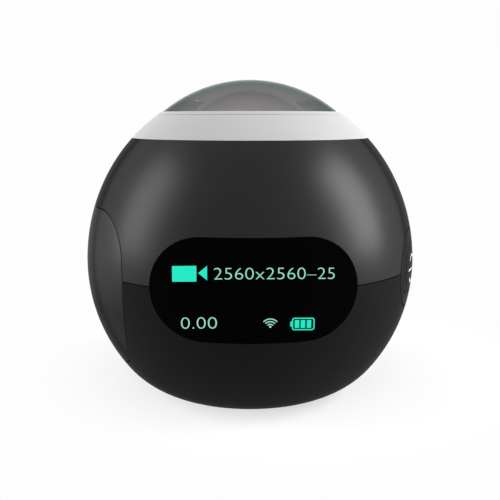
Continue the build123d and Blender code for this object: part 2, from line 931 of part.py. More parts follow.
with BuildPart() as inner_frame:
    # Well: stands on the port panel, inside the door's skirt
    extrude(door_outline(panel_back, well_inset), amount=reach - panel_back)
    extrude(
        door_outline(panel_depth, well_inset + well_wall),
        amount=reach - panel_depth,
        mode=Mode.SUBTRACT,
    )
    extrude(door_outline(panel_back, panel_inset), amount=panel_thickness)
    # Shelf under the boards
    with BuildSketch(Plane.XY.offset(shelf_bottom)):
        Circle(shelf_radius)
        with Locations((key_board_back - shelf_span / 2, shelf_radius - shelf_depth / 2)):
            Rectangle(shelf_span, shelf_depth, mode=Mode.INTERSECT)
    extrude(amount=shelf_thickness)
    # Battery tray: floor, two sides and the wall that the contacts stand against
    with Locations((tray_middle, 0, tray_bottom)):
        Box(tray_length, tray_outer_width, shelf_bottom - tray_bottom, align=standing)
    with Locations((tray_middle - tray_wall, 0, tray_top)):
        Box(
            tray_length,
            tray_inner_width,
            shelf_bottom - tray_top,
            align=standing,
            mode=Mode.SUBTRACT,
        )
    # Uprights behind the screen and behind the key board
    with BuildSketch(front_plane.offset(upright_front)):
        Rectangle(
            screen_length + 2 * upright_margin, screen_height + 2 * upright_margin
        )
    extrude(amount=upright_thickness)
    with BuildSketch(key_plane.offset(key_upright_back)):
        with Locations((0, (key_upright_rise - key_upright_drop) / 2)):
            Rectangle(key_upright_width, key_upright_rise + key_upright_drop)
    extrude(amount=upright_thickness)
    # Posts for the screws, and standoffs for the boards
    with Locations(*post_places(shelf_top)):
        Cylinder(post_radius, post_top - shelf_top, align=standing)
    with Locations(*square_places(base_screw_spacing, floor_thickness)):
        Cylinder(post_radius, tray_bottom - floor_thickness, align=standing)
    with Locations(*square_places(spacer_spacing, shelf_top)):
        Cylinder(standoff_radius, standoff_height, align=standing)
    add(body_solid(frame_inset), mode=Mode.INTERSECT)
    # Screw holes
    with Locations(*post_places(shelf_bottom)):
        Cylinder(
            screw_pass_radius, post_top - shelf_bottom, align=standing, mode=Mode.SUBTRACT
        )
    with Locations(*square_places(base_screw_spacing, floor_thickness)):
        Cylinder(
            screw_pilot_radius, base_pilot_depth, align=standing, mode=Mode.SUBTRACT
        )
    with Locations(*square_places(spacer_spacing, board_bottom)):
        Cylinder(stud_pilot_radius, stud_pilot_depth, align=hanging, mode=Mode.SUBTRACT)
    # Mouths of the ports, the card and the battery
    with Locations((-panel_back, usb_y, usb_middle)):
        Box(
            2 * panel_thickness + overrun,
            usb_width + 2 * fit_gap,
            usb_height + 2 * fit_gap,
            mode=Mode.SUBTRACT,
        )
    with Locations((-panel_back, hdmi_y, hdmi_middle)):
        Box(
            2 * panel_thickness + overrun,
            hdmi_width + 2 * fit_gap,
            hdmi_height + 2 * fit_gap,
            mode=Mode.SUBTRACT,
        )
    with Locations((-panel_back, 0, card_bottom + card_thickness / 2)):
        Box(
            2 * panel_thickness + overrun,
            card_width + 2 * slip_gap,
            card_thickness + 2 * slip_gap,
            mode=Mode.SUBTRACT,
        )
    with BuildSketch(door_plane.offset(panel_back - overrun)):
        with Locations((0, tray_top + battery_height / 2 - seam_height)):
            Rectangle(battery_width + 2 * battery_play, battery_height + 2 * fit_gap)
    extrude(amount=reach - panel_back, mode=Mode.SUBTRACT)
    # Slots that the battery contacts pass through, from the tray up to the board
    with Locations((contact_x, 0, tray_top)):
        with GridLocations(contact_pitch, contact_pitch, 1, contact_count):
            Box(
                contact_thickness + 2 * fit_gap,
                contact_width + 2 * fit_gap,
                board_bottom - tray_top,
                align=standing,
                mode=Mode.SUBTRACT,
            )
write(inner_frame, "inner_frame")

# Battery: a wrapped cell block with rounded corners and three contact pads at its inner end
battery_corner_radius = 1.2
pad_dish_depth = 0.1
contact_level = tray_top + battery_height / 2
with BuildPart() as battery:
    with BuildSketch(Plane.YZ.offset(battery_left)):
        with Locations((0, contact_level)):
            RectangleRounded(battery_width, battery_height, battery_corner_radius)
    extrude(amount=battery_length)
    with Locations((battery_right, 0, contact_level)):
        with GridLocations(contact_pitch, contact_pitch, 1, contact_count):
            Box(
                2 * pad_dish_depth,
                contact_width + 2 * fit_gap,
                battery_height / 2,
                mode=Mode.SUBTRACT,
            )
write(battery, "battery")

# Battery contacts: sprung leaves that hang from the board through the shelf
contact_bow = 1.8
contact_tip_x = battery_right - pad_dish_depth + contact_thickness / 2 + joint_gap
with BuildPart() as contact_leaf:
    with BuildSketch(Plane.XZ):
        with BuildLine():
            FilletPolyline(
                (contact_x, board_bottom),
                (contact_x, contact_level + contact_bow),
                (contact_tip_x, contact_level),
                (contact_x, contact_level - contact_bow),
                radius=contact_thickness,
            )
        trace(line_width=contact_thickness)
    extrude(amount=contact_width / 2, both=True)

with BuildPart() as battery_contacts:
    with GridLocations(contact_pitch, contact_pitch, 1, contact_count):
        add(contact_leaf.part)
write(battery_contacts, "battery_contacts")


def port(width: float, height: float, middle: tuple[float, float], tongue: float) -> Part:
    """A board-edge port: a metal shell with a hollow mouth and a tongue inside it."""
    with BuildPart() as body:
        with BuildSketch(door_plane.offset(panel_depth)):
            with Locations(middle):
                RectangleRounded(width, height, port_wall)
        extrude(amount=-port_depth)
        with BuildSketch(door_plane.offset(panel_depth)):
            with Locations(middle):
                Rectangle(width - 2 * port_wall, height - 2 * port_wall)
        extrude(amount=-(port_depth - port_wall), mode=Mode.SUBTRACT)
        with BuildSketch(door_plane.offset(panel_depth - port_wall)):
            with Locations(middle):
                Rectangle(width * port_tongue_share, tongue)
        extrude(amount=-(port_depth - port_wall))
    return body.part


# Ports on the board's edge, flush with the panel
port_tongue_share = 0.62
usb_tongue = 0.6
hdmi_tongue = 0.7
with BuildPart() as usb_port:
    add(port(usb_width, usb_height, (-usb_y, usb_middle - seam_height), usb_tongue))
write(usb_port, "usb_port")

with BuildPart() as hdmi_port:
    add(port(hdmi_width, hdmi_height, (-hdmi_y, hdmi_middle - seam_height), hdmi_tongue))
write(hdmi_port, "hdmi_port")

# Card slot: a thin shell open at the panel, and the card in it
with BuildPart() as card_slot:
    with Locations(((board_left + slot_end) / 2, 0, board_top)):
        Box(
            slot_end - board_left,
            card_width + 2 * card_slot_side,
            card_slot_height,
            align=standing,
        )
    with Locations(((board_left + slot_end) / 2 - card_slot_wall, 0, board_top + card_slot_wall)):
        Box(
            slot_end - board_left,
            card_width + 2 * slip_gap,
            card_thickness + 2 * fit_gap,
            align=standing,
            mode=Mode.SUBTRACT,
        )
write(card_slot, "card_slot")

card_corner = 1.0
card_ridge_height = 0.3
card_ridge_length = 0.9
with BuildPart() as memory_card:
    with BuildSketch(Plane.XY.offset(card_bottom)):
        with Locations(((card_left + card_right) / 2, 0)):
            Rectangle(card_length, card_width)
        fillet(vertices(), card_corner)
    extrude(amount=card_thickness - card_ridge_height)
    with Locations((card_left + card_corner, 0, card_bottom)):
        Box(
            card_ridge_length,
            card_width - 2 * card_corner,
            card_thickness,
            align=standing,
        )
write(memory_card, "memory_card")

# Side door: a round cap with a skirt, two stiffening ribs and a nail notch at its rear edge
door_rib_thickness = 0.8
door_rib_spacing = 17.0
door_rib_height = 1.0
nail_notch_radius = 1.3
nail_notch_length = 8.0
notch_x = -sqrt(body_radius**2 - door_radius**2)
with BuildPart() as door_hollow:
    extrude(door_outline(panel_back, slip_gap + door_skirt_wall), amount=reach - panel_back)
    add(body_solid(door_wall), mode=Mode.INTERSECT)

with BuildPart() as door_ribs:
    rib_outline = door_outline(panel_back, well_inset + well_wall + slip_gap)
    extrude(rib_outline, amount=reach - panel_back)
    with Locations((-reach / 2, 0, seam_height)):
        with GridLocations(reach, door_rib_spacing, 1, 2):
            Box(reach, door_rib_thickness, 2 * door_bottom_drop, mode=Mode.INTERSECT)
    add(door_hollow.part, mode=Mode.INTERSECT)
    add(body_solid(door_wall + door_rib_height), mode=Mode.SUBTRACT)

with BuildPart() as side_door:
    extrude(door_outline(skirt_end, slip_gap), amount=reach - skirt_end)
    add(body_solid(0), mode=Mode.INTERSECT)
    add(door_hollow.part, mode=Mode.SUBTRACT)
    add(door_ribs.part)
    with Locations((notch_x, door_radius, seam_height)):
        Cylinder(nail_notch_radius, nail_notch_length, mode=Mode.SUBTRACT)
write(side_door, "side_door")

with BuildPart() as door_seal:
    extrude(door_outline(panel_depth, panel_inset + joint_gap), amount=seal_thickness)
    extrude(
        door_outline(panel_depth, slip_gap + door_skirt_wall),
        amount=seal_thickness,
        mode=Mode.SUBTRACT,
    )
write(door_seal, "door_seal")

# Display window, the screen behind it and the foam frame between them
foam_wall = 1.5
with BuildPart() as display_window:
    window = slot_outline(front_plane, window_length, window_height, joint_gap)
    add(skin_patch(window, window_thickness))
write(display_window, "display_window")

with BuildPart() as display_screen:
    with BuildSketch(front_plane.offset(screen_back)):
        Rectangle(screen_length, screen_height)
    extrude(amount=screen_thickness)
    glass_rim = faces().filter_by(Axis.Y).sort_by(Axis.Y)[0].edges()
    chamfer(glass_rim, joint_gap)
write(display_screen, "display_screen")

with BuildPart() as display_foam:
    with BuildSketch(front_plane.offset(screen_front)):
        Rectangle(screen_length, screen_height)
        Rectangle(screen_length - 2 * foam_wall, screen_height - 2 * foam_wall, mode=Mode.SUBTRACT)
    extrude(amount=reach - screen_front)
    add(body_solid(wall + joint_gap), mode=Mode.INTERSECT)
write(display_foam, "display_foam")

screen_flex_y = -(screen_front + screen_back) / 2
screen_top = seam_height + screen_height / 2
flex_over = 1.8
flex_down_y = -18.4
flex_down_height = 3.4
with BuildPart() as display_flex:
    add(
        flat_cable(
            cable_plane,
            flex_width,
            flex_bend,
            [
                (screen_flex_y, screen_top),
                (screen_flex_y, screen_top + flex_over),
                (flex_down_y, screen_top + flex_over),
                (flex_down_y, socket_mouth + flex_down_height),
                (-socket_y, socket_mouth + flex_down_height - flex_bend),
                (-socket_y, socket_mouth),
            ],
        )
    )
write(display_flex, "display_flex")

# Key strip, its three keys, and the board with their switches
key_hole_radius = key_radius + slip_gap
key_flange_margin = 0.4
key_flange_thickness = 0.7
switch_size = 3.6
switch_height = 1.2
switch_pin_radius = 1.0
switch_pin_height = 0.4
key_board_length = 30.0
key_board_height = 10.0
microphone_y = -13.3
microphone_drop = 3.5
microphone_length = 2.6
microphone_width = 2.0
microphone_height = 1.0
microphone_hole_radius = 0.35
key_back = key_board_front + switch_height + switch_pin_height + key_travel + joint_gap

with BuildPart() as key_strip:
    strip = slot_outline(key_plane, strip_length, strip_height, joint_gap)
    add(skin_patch(strip, strip_thickness))
    with BuildSketch(key_plane):
        with GridLocations(key_pitch, key_pitch, 3, 1):
            Circle(key_hole_radius)
        with Locations((microphone_y, -microphone_drop)):
            Circle(microphone_hole_radius)
    extrude(amount=reach, mode=Mode.SUBTRACT)
write(key_strip, "key_strip")


def key_cap(y: float) -> Part:
    """A round key that follows the body's surface, with a flange that stays behind the strip."""
    with BuildPart() as key:
        with BuildSketch(key_plane.offset(key_back)):
            with Locations((y, 0)):
                Circle(key_radius)
        extrude(amount=reach - key_back)
        add(body_solid(0), mode=Mode.INTERSECT)
        with BuildSketch(key_plane.offset(key_back)):
            with Locations((y, 0)):
                Circle(key_radius + key_flange_margin)
        extrude(amount=key_flange_thickness)
    return key.part


with BuildPart() as power_key:
    add(key_cap(-key_pitch))
write(power_key, "power_key")

with BuildPart() as mode_key:
    add(key_cap(0))
write(mode_key, "mode_key")

with BuildPart() as shutter_key:
    add(key_cap(key_pitch))
write(shutter_key, "shutter_key")

with BuildPart() as key_board:
    with BuildSketch(key_plane.offset(key_board_back)):
        RectangleRounded(key_board_length, key_board_height, board_corner_radius)
    extrude(amount=key_board_thickness)
write(key_board, "key_board")

with BuildPart() as key_switches:
    with BuildSketch(key_plane.offset(key_board_front)):
        with GridLocations(key_pitch, key_pitch, 3, 1):
            Rectangle(switch_size, switch_size)
    extrude(amount=switch_height)
    with BuildSketch(key_plane.offset(key_board_front + switch_height)):
        with GridLocations(key_pitch, key_pitch, 3, 1):
            Circle(switch_pin_radius)
    extrude(amount=switch_pin_height)
write(key_switches, "key_switches")

with BuildPart() as microphone:
    with BuildSketch(key_plane.offset(key_board_front)):
        with Locations((microphone_y, -microphone_drop)):
            Rectangle(microphone_length, microphone_width)
    extrude(amount=microphone_height)
    with BuildSketch(key_plane.offset(key_board_front + microphone_height)):
        with Locations((microphone_y, -microphone_drop)):
            Circle(microphone_hole_radius)
    extrude(amount=-microphone_height / 2, mode=Mode.SUBTRACT)
write(microphone, "microphone")

key_flex_x = (key_board_front + key_board_back) / 2
key_board_top = seam_height + key_board_height / 2
key_flex_plane = Plane(origin=(0, key_socket_y, 0), x_dir=(1, 0, 0), z_dir=(0, -1, 0))
with BuildPart() as key_flex:
    add(
        flat_cable(
            key_flex_plane,
            key_flex_width,
            flex_bend,
            [
                (key_flex_x, key_board_top),
                (key_flex_x, key_board_top + flex_over),
                (key_socket_x, key_board_top + flex_over),
                (key_socket_x, socket_mouth),
            ],
        )
    )
write(key_flex, "key_flex")

# Wireless antenna: a foil strip on the inside of the rear wall
antenna_length = 18.0
antenna_height = 5.0
antenna_rise = 9.0
antenna_thickness = 0.2
with BuildPart() as antenna:
    with BuildSketch(Plane(origin=(0, 0, seam_height), x_dir=(-1, 0, 0), z_dir=(0, 1, 0))):
        with Locations((0, antenna_rise)):
            Rectangle(antenna_length, antenna_height)
    extrude(amount=reach)
    add(body_solid(wall), mode=Mode.INTERSECT)
    add(body_solid(wall + antenna_thickness), mode=Mode.SUBTRACT)
write(antenna, "antenna")

# Tripod socket: a brass insert with a blind threaded hole and two grooves that lock it in
socket_groove_depth = 0.3
socket_groove_width = 0.8
with BuildPart() as tripod_socket:
    with Locations((0, 0, socket_recess)):
        Cylinder(socket_radius, thread_depth + socket_end, align=standing)
        Cylinder(thread_radius, thread_depth, align=standing, mode=Mode.SUBTRACT)
    for share in (1 / 3, 2 / 3):
        with BuildSketch(Plane.XY.offset(socket_recess + share * (thread_depth + socket_end))):
            Circle(socket_radius)
            Circle(socket_radius - socket_groove_depth, mode=Mode.SUBTRACT)
        extrude(amount=socket_groove_width / 2, both=True, mode=Mode.SUBTRACT)
write(tripod_socket, "tripod_socket")

# Rubber pad that the camera stands on, over the heads of the base screws
with BuildPart() as base_pad:
    with BuildSketch(Plane.XY):
        Circle(pad_outer_radius)
        Circle(pad_inner_radius, mode=Mode.SUBTRACT)
    extrude(amount=pad_thickness)
write(base_pad, "base_pad")

# Screws: four up through the floor into the frame, four up through the shelf into the crown
base_screw_length = 4.8
shelf_screw_length = 11.0
with BuildPart() as base_screws:
    with Locations(*square_places(base_screw_spacing, pad_thickness)):
        Cylinder(screw_head_radius, screw_head_height, align=standing)
        drive_slot(screw_head_radius)
    with Locations(*square_places(base_screw_spacing, head_seat)):
        Cylinder(screw_radius, base_screw_length, align=standing)
write(base_screws, "base_screws")

with BuildPart() as shelf_screws:
    with Locations(*post_places(shelf_bottom)):
        Cylinder(screw_head_radius, screw_head_height, align=hanging)
        Cylinder(screw_radius, shelf_screw_length, align=standing)
    with Locations(*post_places(shelf_bottom - screw_head_height)):
        drive_slot(screw_head_radius)
write(shelf_screws, "shelf_screws")
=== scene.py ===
"""Looks of a ball-shaped 360 degree camera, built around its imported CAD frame.

Sizes are in millimetres and angles in degrees, except where a name says otherwise.
The display faces -Y, the side door -X, the keys +X and the lens +Z.
"""

import json
import logging
import math
from dataclasses import dataclass, field
from enum import Enum
from typing import Any

import bpy
from mathutils import Matrix, Vector


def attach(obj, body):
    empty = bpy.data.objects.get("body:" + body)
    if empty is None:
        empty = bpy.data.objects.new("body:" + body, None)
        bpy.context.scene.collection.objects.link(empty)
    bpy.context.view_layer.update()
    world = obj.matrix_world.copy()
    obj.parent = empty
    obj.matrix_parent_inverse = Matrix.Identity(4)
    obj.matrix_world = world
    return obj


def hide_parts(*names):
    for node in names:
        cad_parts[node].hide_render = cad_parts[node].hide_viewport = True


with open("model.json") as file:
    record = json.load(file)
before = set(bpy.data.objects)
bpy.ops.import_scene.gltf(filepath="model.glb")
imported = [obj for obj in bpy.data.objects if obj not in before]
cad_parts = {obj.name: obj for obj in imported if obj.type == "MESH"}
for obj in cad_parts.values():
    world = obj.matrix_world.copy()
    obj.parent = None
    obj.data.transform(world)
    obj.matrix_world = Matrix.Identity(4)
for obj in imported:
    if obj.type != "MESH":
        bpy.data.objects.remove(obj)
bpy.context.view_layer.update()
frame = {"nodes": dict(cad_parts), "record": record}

MM = 0.001
MERGE_DISTANCE = 0.002 * MM
ROOT_BODY = "camera_body"
# Heights between which the window, the strip and their signs lie
SKIN_BAND = (14.0, 33.0)
# Distances from the upright axis where prisms through the skin start and end
PRISM_START = 12.0
SIGN_START = 15.0
HOLE_START = 18.0
DOOR_START = 16.4
CUT_END = 31.0
# How far a printed or lit sign reaches into the skin under it
SIGN_DEPTH = 0.06
# Rings in each cell of a board's pattern, the level where copper starts, and the pad's size
TRACK_WAVES = 9.0
TRACK_LEVEL = 0.4
PAD_REACH = 0.16
LOG = logging.getLogger("ball_camera")


class Cut(Enum):
    """How one solid changes another."""

    AWAY = "DIFFERENCE"
    KEEP_SHARED = "INTERSECT"
    JOIN = "UNION"


class Side(Enum):
    """The side of the camera that a flat outline faces, as the turn that takes -Y there."""

    FRONT = 0.0
    KEYS = 90.0
    DOOR = -90.0

    def turn(self) -> Matrix:
        """Rotation that takes the front to this side."""
        return Matrix.Rotation(math.radians(self.value), 4, "Z")


# Modelling by hand, with Blender's own operators


def take(piece: bpy.types.Object) -> None:
    """Make a piece the only selected and active one, in object mode.

    Args:
        piece: The piece to work on next.
    """
    held = bpy.context.view_layer.objects.active
    if held is not None and held.mode != "OBJECT":
        bpy.ops.object.mode_set(mode="OBJECT")
    bpy.ops.object.select_all(action="DESELECT")
    piece.select_set(True)
    bpy.context.view_layer.objects.active = piece


def edit_all(piece: bpy.types.Object) -> None:
    """Open a piece in edit mode with all of it selected.

    Args:
        piece: The piece to open.
    """
    take(piece)
    bpy.ops.object.mode_set(mode="EDIT")
    bpy.ops.mesh.select_mode(type="VERT")
    bpy.ops.mesh.select_all(action="SELECT")


def draw_chain(name: str, points: list[Vector], closed: bool) -> bpy.types.Object:
    """Extrude one vertex from point to point.

    Args:
        name: Name of the new object.
        points: The corners in millimetres, in order.
        closed: Whether the last point joins the first.

    Returns:
        The chain, at the origin, with its corners at the points.
    """
    corners = [point * MM for point in points]
    bpy.ops.object.select_all(action="DESELECT")
    bpy.ops.mesh.primitive_plane_add(size=MM, location=corners[0])
    chain = bpy.context.object
    chain.name = name
    bpy.ops.object.transform_apply(location=True, rotation=True, scale=True)
    bpy.ops.object.mode_set(mode="EDIT")
    bpy.ops.mesh.select_all(action="SELECT")
    bpy.ops.mesh.merge(type="CENTER")
    for here, there in zip(corners, corners[1:]):
        bpy.ops.mesh.extrude_vertices_move(TRANSFORM_OT_translate={"value": there - here})
    if closed:
        bpy.ops.mesh.extrude_vertices_move(
            TRANSFORM_OT_translate={"value": corners[0] - corners[-1]}
        )
        bpy.ops.mesh.select_all(action="SELECT")
        bpy.ops.mesh.remove_doubles(threshold=MERGE_DISTANCE)
    bpy.ops.object.mode_set(mode="OBJECT")
    return chain


def turn_profile(
    name: str, points: list[Vector], closed: bool = True, steps: int = 160
) -> bpy.types.Object:
    """Spin a drawn profile once round the upright axis.

    Args:
        name: Name of the new object.
        points: Corners of the profile in the XZ plane.
        closed: Whether the profile closes on itself, away from the axis.
        steps: How many steps the turn has.

    Returns:
        The turned solid.
    """
    piece = draw_chain(name, points, closed)
    edit_all(piece)
    bpy.ops.mesh.spin(steps=steps, angle=2 * math.pi, center=(0, 0, 0), axis=(0, 0, 1))
    tidy_mesh()
    return piece


def tidy_mesh() -> None:
    """Merge doubles and turn all normals outwards, in edit mode, then leave it."""
    bpy.ops.mesh.select_all(action="SELECT")
    bpy.ops.mesh.remove_doubles(threshold=MERGE_DISTANCE)
    bpy.ops.mesh.dissolve_degenerate(threshold=MERGE_DISTANCE)
    bpy.ops.mesh.select_all(action="SELECT")
    bpy.ops.mesh.normals_make_consistent(inside=False)
    bpy.ops.object.mode_set(mode="OBJECT")


def push_outline(
    name: str, outline: list[Vector], side: Side, start: float, end: float, climb: float = 0.0
) -> bpy.types.Object:
    """Fill an outline and extrude it away from the upright axis.

    Args:
        name: Name of the new object.
        outline: Corners as (across, 0, height), seen from the side.
        side: The side that the outline faces.
        start: Distance from the axis where the solid starts.
        end: Distance from the axis where it ends, with the outline at its own height.
        climb: How far the solid climbs for each millimetre outwards.

    Returns:
        The solid prism.
    """
    turned = side.turn()
    away = Vector((0, start - end, climb * (end - start)))
    inner = Vector((0, end, 0)) + away
    placed = [turned @ (point - inner) for point in outline]
    piece = draw_chain(name, placed, closed=True)
    edit_all(piece)
    bpy.ops.mesh.edge_face_add()
    bpy.ops.mesh.extrude_region_move(TRANSFORM_OT_translate={"value": turned @ away * MM})
    tidy_mesh()
    return piece


def combine(
    piece: bpy.types.Object,
    tool: bpy.types.Object,
    how: Cut,
    keep_tool: bool = False,
    crosses_itself: bool = False,
) -> bpy.types.Object:
    """Change a solid by another solid.

    Args:
        piece: The solid that is changed.
        tool: The solid that changes it.
        how: Whether the tool is cut away, shared or joined.
        keep_tool: Whether the tool is used again.
        crosses_itself: Whether the solid's own faces may cross.

    Returns:
        The changed piece.
    """
    take(piece)
    bpy.ops.object.modifier_add(type="BOOLEAN")
    change = piece.modifiers[-1]
    change.operation = how.value
    change.solver = "EXACT"
    change.use_self = crosses_itself
    change.object = tool
    bpy.ops.object.modifier_apply(modifier=change.name)
    if not keep_tool:
        bpy.data.objects.remove(tool)
    return piece


def round_edges(piece: bpy.types.Object, width: float, angle: float = 50.0) -> None:
    """Round the sharp edges of a piece.

    Args:
        piece: The piece to change.
        width: Width of the rounding in millimetres.
        angle: Edges sharper than this are rounded.
    """
    take(piece)
    bpy.ops.object.modifier_add(type="BEVEL")
    rounding = piece.modifiers[-1]
    rounding.width = width * MM
    rounding.segments = 2
    rounding.limit_method = "ANGLE"
    rounding.angle_limit = math.radians(angle)
    rounding.use_clamp_overlap = True
    bpy.ops.object.modifier_apply(modifier=rounding.name)


def soften(piece: bpy.types.Object, angle: float = 32.0) -> None:
    """Shade a piece smooth, except at its sharp edges.

    Args:
        piece: The piece to shade.
        angle: Edges sharper than this stay sharp.
    """
    take(piece)
    bpy.ops.object.shade_smooth_by_angle(angle=math.radians(angle))


def arc(
    centre: tuple[float, float], radius: float, start: float, end: float, steps: int
) -> list[Vector]:
    """Points along an arc in the XZ plane.

    Args:
        centre: Middle of the arc, across and height.
        radius: Radius of the arc.
        start: Angle of the first point.
        end: Angle of the last point.
        steps: How many steps lie between them.

    Returns:
        The points, both ends included.
    """
    points = []
    for step in range(steps + 1):
        angle = math.radians(start + (end - start) * step / steps)
        across = centre[0] + radius * math.cos(angle)
        points.append(Vector((across, 0, centre[1] + radius * math.sin(angle))))
    return points


def at(across: float, height: float) -> Vector:
    """A point of the XZ plane."""
    return Vector((across, 0, height))


# Node trees


class Graph:
    """Adds and joins the nodes of one tree."""

    def __init__(self, tree: bpy.types.NodeTree) -> None:
        """Hold the tree to fill."""
        self.tree = tree

    def add(self, kind: str, inputs: dict[Any, Any] | None = None, **settings: Any) -> Any:
        """Add a node.

        Args:
            kind: Blender's name of the node's type.
            inputs: Values or sockets for its inputs, by name or number.
            **settings: Properties of the node itself.

        Returns:
            The new node.
        """
        node = self.tree.nodes.new(kind)
        for key, value in settings.items():
            setattr(node, key, value)
        self.feed(node, inputs or {})
        return node

    def feed(self, node: Any, inputs: dict[Any, Any]) -> None:
        """Set or link the inputs of a node.

        Args:
            node: The node.
            inputs: Values or sockets for its inputs, by name or number.
        """
        for key, value in inputs.items():
            if isinstance(value, bpy.types.NodeSocket):
                self.tree.links.new(value, node.inputs[key])
            else:
                node.inputs[key].default_value = value

    def work(self, operation: str, *values: Any) -> Any:
        """The value of a Math node.

        Args:
            operation: What the node does.
            *values: Its numbers or sockets, in order.

        Returns:
            The value's socket.
        """
        return self.add("ShaderNodeMath", dict(enumerate(values)), operation=operation).outputs[0]

    def mix(self, share: Any, first: Any, second: Any) -> Any:
        """The socket of a colour that goes from the first to the second."""
        tones = {"Factor": share, "A": first, "B": second}
        return self.add("ShaderNodeMix", tones, data_type="RGBA").outputs["Result"]

    def spread(
        self, value: Any, low: float, high: float, start: float = 0.0, end: float = 1.0
    ) -> Any:
        """Carry a value from one range to another and hold it there.

        Args:
            value: The socket of the value.
            low: Result at the start of the range.
            high: Result at its end.
            start: Value where the range starts.
            end: Value where it ends.

        Returns:
            The result's socket.
        """
        ranges = {"Value": value, "From Min": start, "From Max": end, "To Min": low, "To Max": high}
        return self.add("ShaderNodeMapRange", ranges).outputs["Result"]

    def relief(self, height: Any, depth: float) -> Any:
        """The normal's socket of a surface with a relief this many millimetres deep."""
        bump = {"Height": height, "Distance": depth * MM, "Strength": 1.0}
        return self.add("ShaderNodeBump", bump).outputs["Normal"]

    def group(self, shared: bpy.types.NodeTree, inputs: dict[Any, Any]) -> Any:
        """Place a shared node group.

        Args:
            shared: The group.
            inputs: Values or sockets for its inputs.

        Returns:
            The group's node.
        """
        return self.add("ShaderNodeGroup", inputs, node_tree=shared)

    def noise(self, scale: Any, detail: float, stretch: tuple[float, ...] = (1, 1, 1)) -> Any:
        """Noise on Object coordinates.

        Args:
            scale: Size of the pattern as waves a metre, or a socket that gives it.
            detail: Levels of detail.
            stretch: How the pattern is squeezed along each axis.

        Returns:
            The noise node's value socket.
        """
        place = self.add("ShaderNodeTexCoord").outputs["Object"]
        mapped = self.add("ShaderNodeMapping", {"Vector": place, "Scale": stretch})
        waves = {"Vector": mapped.outputs[0], "Scale": scale, "Detail": detail}
        return self.add("ShaderNodeTexNoise", waves).outputs["Fac"]


def new_group(name: str, inputs: dict[str, float], outputs: list[str]) -> tuple[Graph, Any, Any]:
    """Start a shared node group of plain values.

    Args:
        name: Name of the group.
        inputs: Its input names with their first values.
        outputs: Its output names.

    Returns:
        The group's graph, its input node and its output node.
    """
    tree = bpy.data.node_groups.new(name, "ShaderNodeTree")
    for label, value in inputs.items():
        socket = tree.interface.new_socket(label, in_out="INPUT", socket_type="NodeSocketFloat")
        socket.default_value = value
    for label in outputs:
        tree.interface.new_socket(label, in_out="OUTPUT", socket_type="NodeSocketFloat")
    return Graph(tree), tree.nodes.new("NodeGroupInput"), tree.nodes.new("NodeGroupOutput")


def surface_group() -> bpy.types.NodeTree:
    """Fine grain and broad smudges that every moulded surface shares.

    Returns:
        A group with Grain and Smudge values.
    """
    graph, start, end = new_group(
        "moulded_surface", {"Grain Scale": 4000.0, "Smudge Scale": 90.0}, ["Grain", "Smudge"]
    )
    graph.feed(
        end,
        {
            "Grain": graph.noise(start.outputs["Grain Scale"], 2.0),
            "Smudge": graph.noise(start.outputs["Smudge Scale"], 4.0),
        },
    )
    return graph.tree


def brushed_group() -> bpy.types.NodeTree:
    """Fine lines along X for drawn and machined metal.

    Returns:
        A group with one Lines value.
    """
    graph, start, end = new_group("brushed_lines", {"Line Scale": 3000.0}, ["Lines"])
    lines = graph.noise(start.outputs["Line Scale"], 3.0, stretch=(0.04, 1.0, 1.0))
    graph.feed(end, {"Lines": lines})
    return graph.tree


def traces_group() -> bpy.types.NodeTree:
    """Copper tracks and pads of a circuit board.

    Returns:
        A group with Tracks and Pads masks.
    """
    graph, start, end = new_group("board_tracks", {"Track Scale": 600.0}, ["Tracks", "Pads"])
    place = graph.add("ShaderNodeTexCoord").outputs["Object"]
    cells = graph.add(
        "ShaderNodeTexVoronoi",
        {"Vector": place, "Scale": start.outputs["Track Scale"]},
        distance="MANHATTAN",
    )
    distance = cells.outputs["Distance"]
    waves = graph.work("SINE", graph.work("MULTIPLY", distance, TRACK_WAVES))
    graph.feed(
        end,
        {
            "Tracks": graph.work("GREATER_THAN", waves, TRACK_LEVEL),
            "Pads": graph.work("LESS_THAN", distance, PAD_REACH),
        },
    )
    return graph.tree


Colour = tuple[float, float, float, float]


def colour(red: float, green: float, blue: float) -> Colour:
    """An opaque linear colour."""
    return (red, green, blue, 1.0)


@dataclass
class Effects:
    """The node groups that the finishes share."""

    surface: bpy.types.NodeTree = field(default_factory=surface_group)
    brushed: bpy.types.NodeTree = field(default_factory=brushed_group)
    traces: bpy.types.NodeTree = field(default_factory=traces_group)


@dataclass(frozen=True)
class Finish:
    """A named look. Each kind of surface wires its own nodes."""

    name: str

    def make(self, effects: Effects) -> bpy.types.Material:
        """Build the material.

        Args:
            effects: The shared node groups.

        Returns:
            The material.
        """
        made = bpy.data.materials.new(self.name)
        made.use_nodes = True
        self.wire(Graph(made.node_tree), made.node_tree.nodes["Principled BSDF"], effects)
        return made

    def wire(self, graph: Graph, shader: Any, effects: Effects) -> None:
        """Feed the shader's inputs.

        Args:
            graph: The material's graph.
            shader: Its Principled BSDF.
            effects: The shared node groups.
        """
        raise NotImplementedError


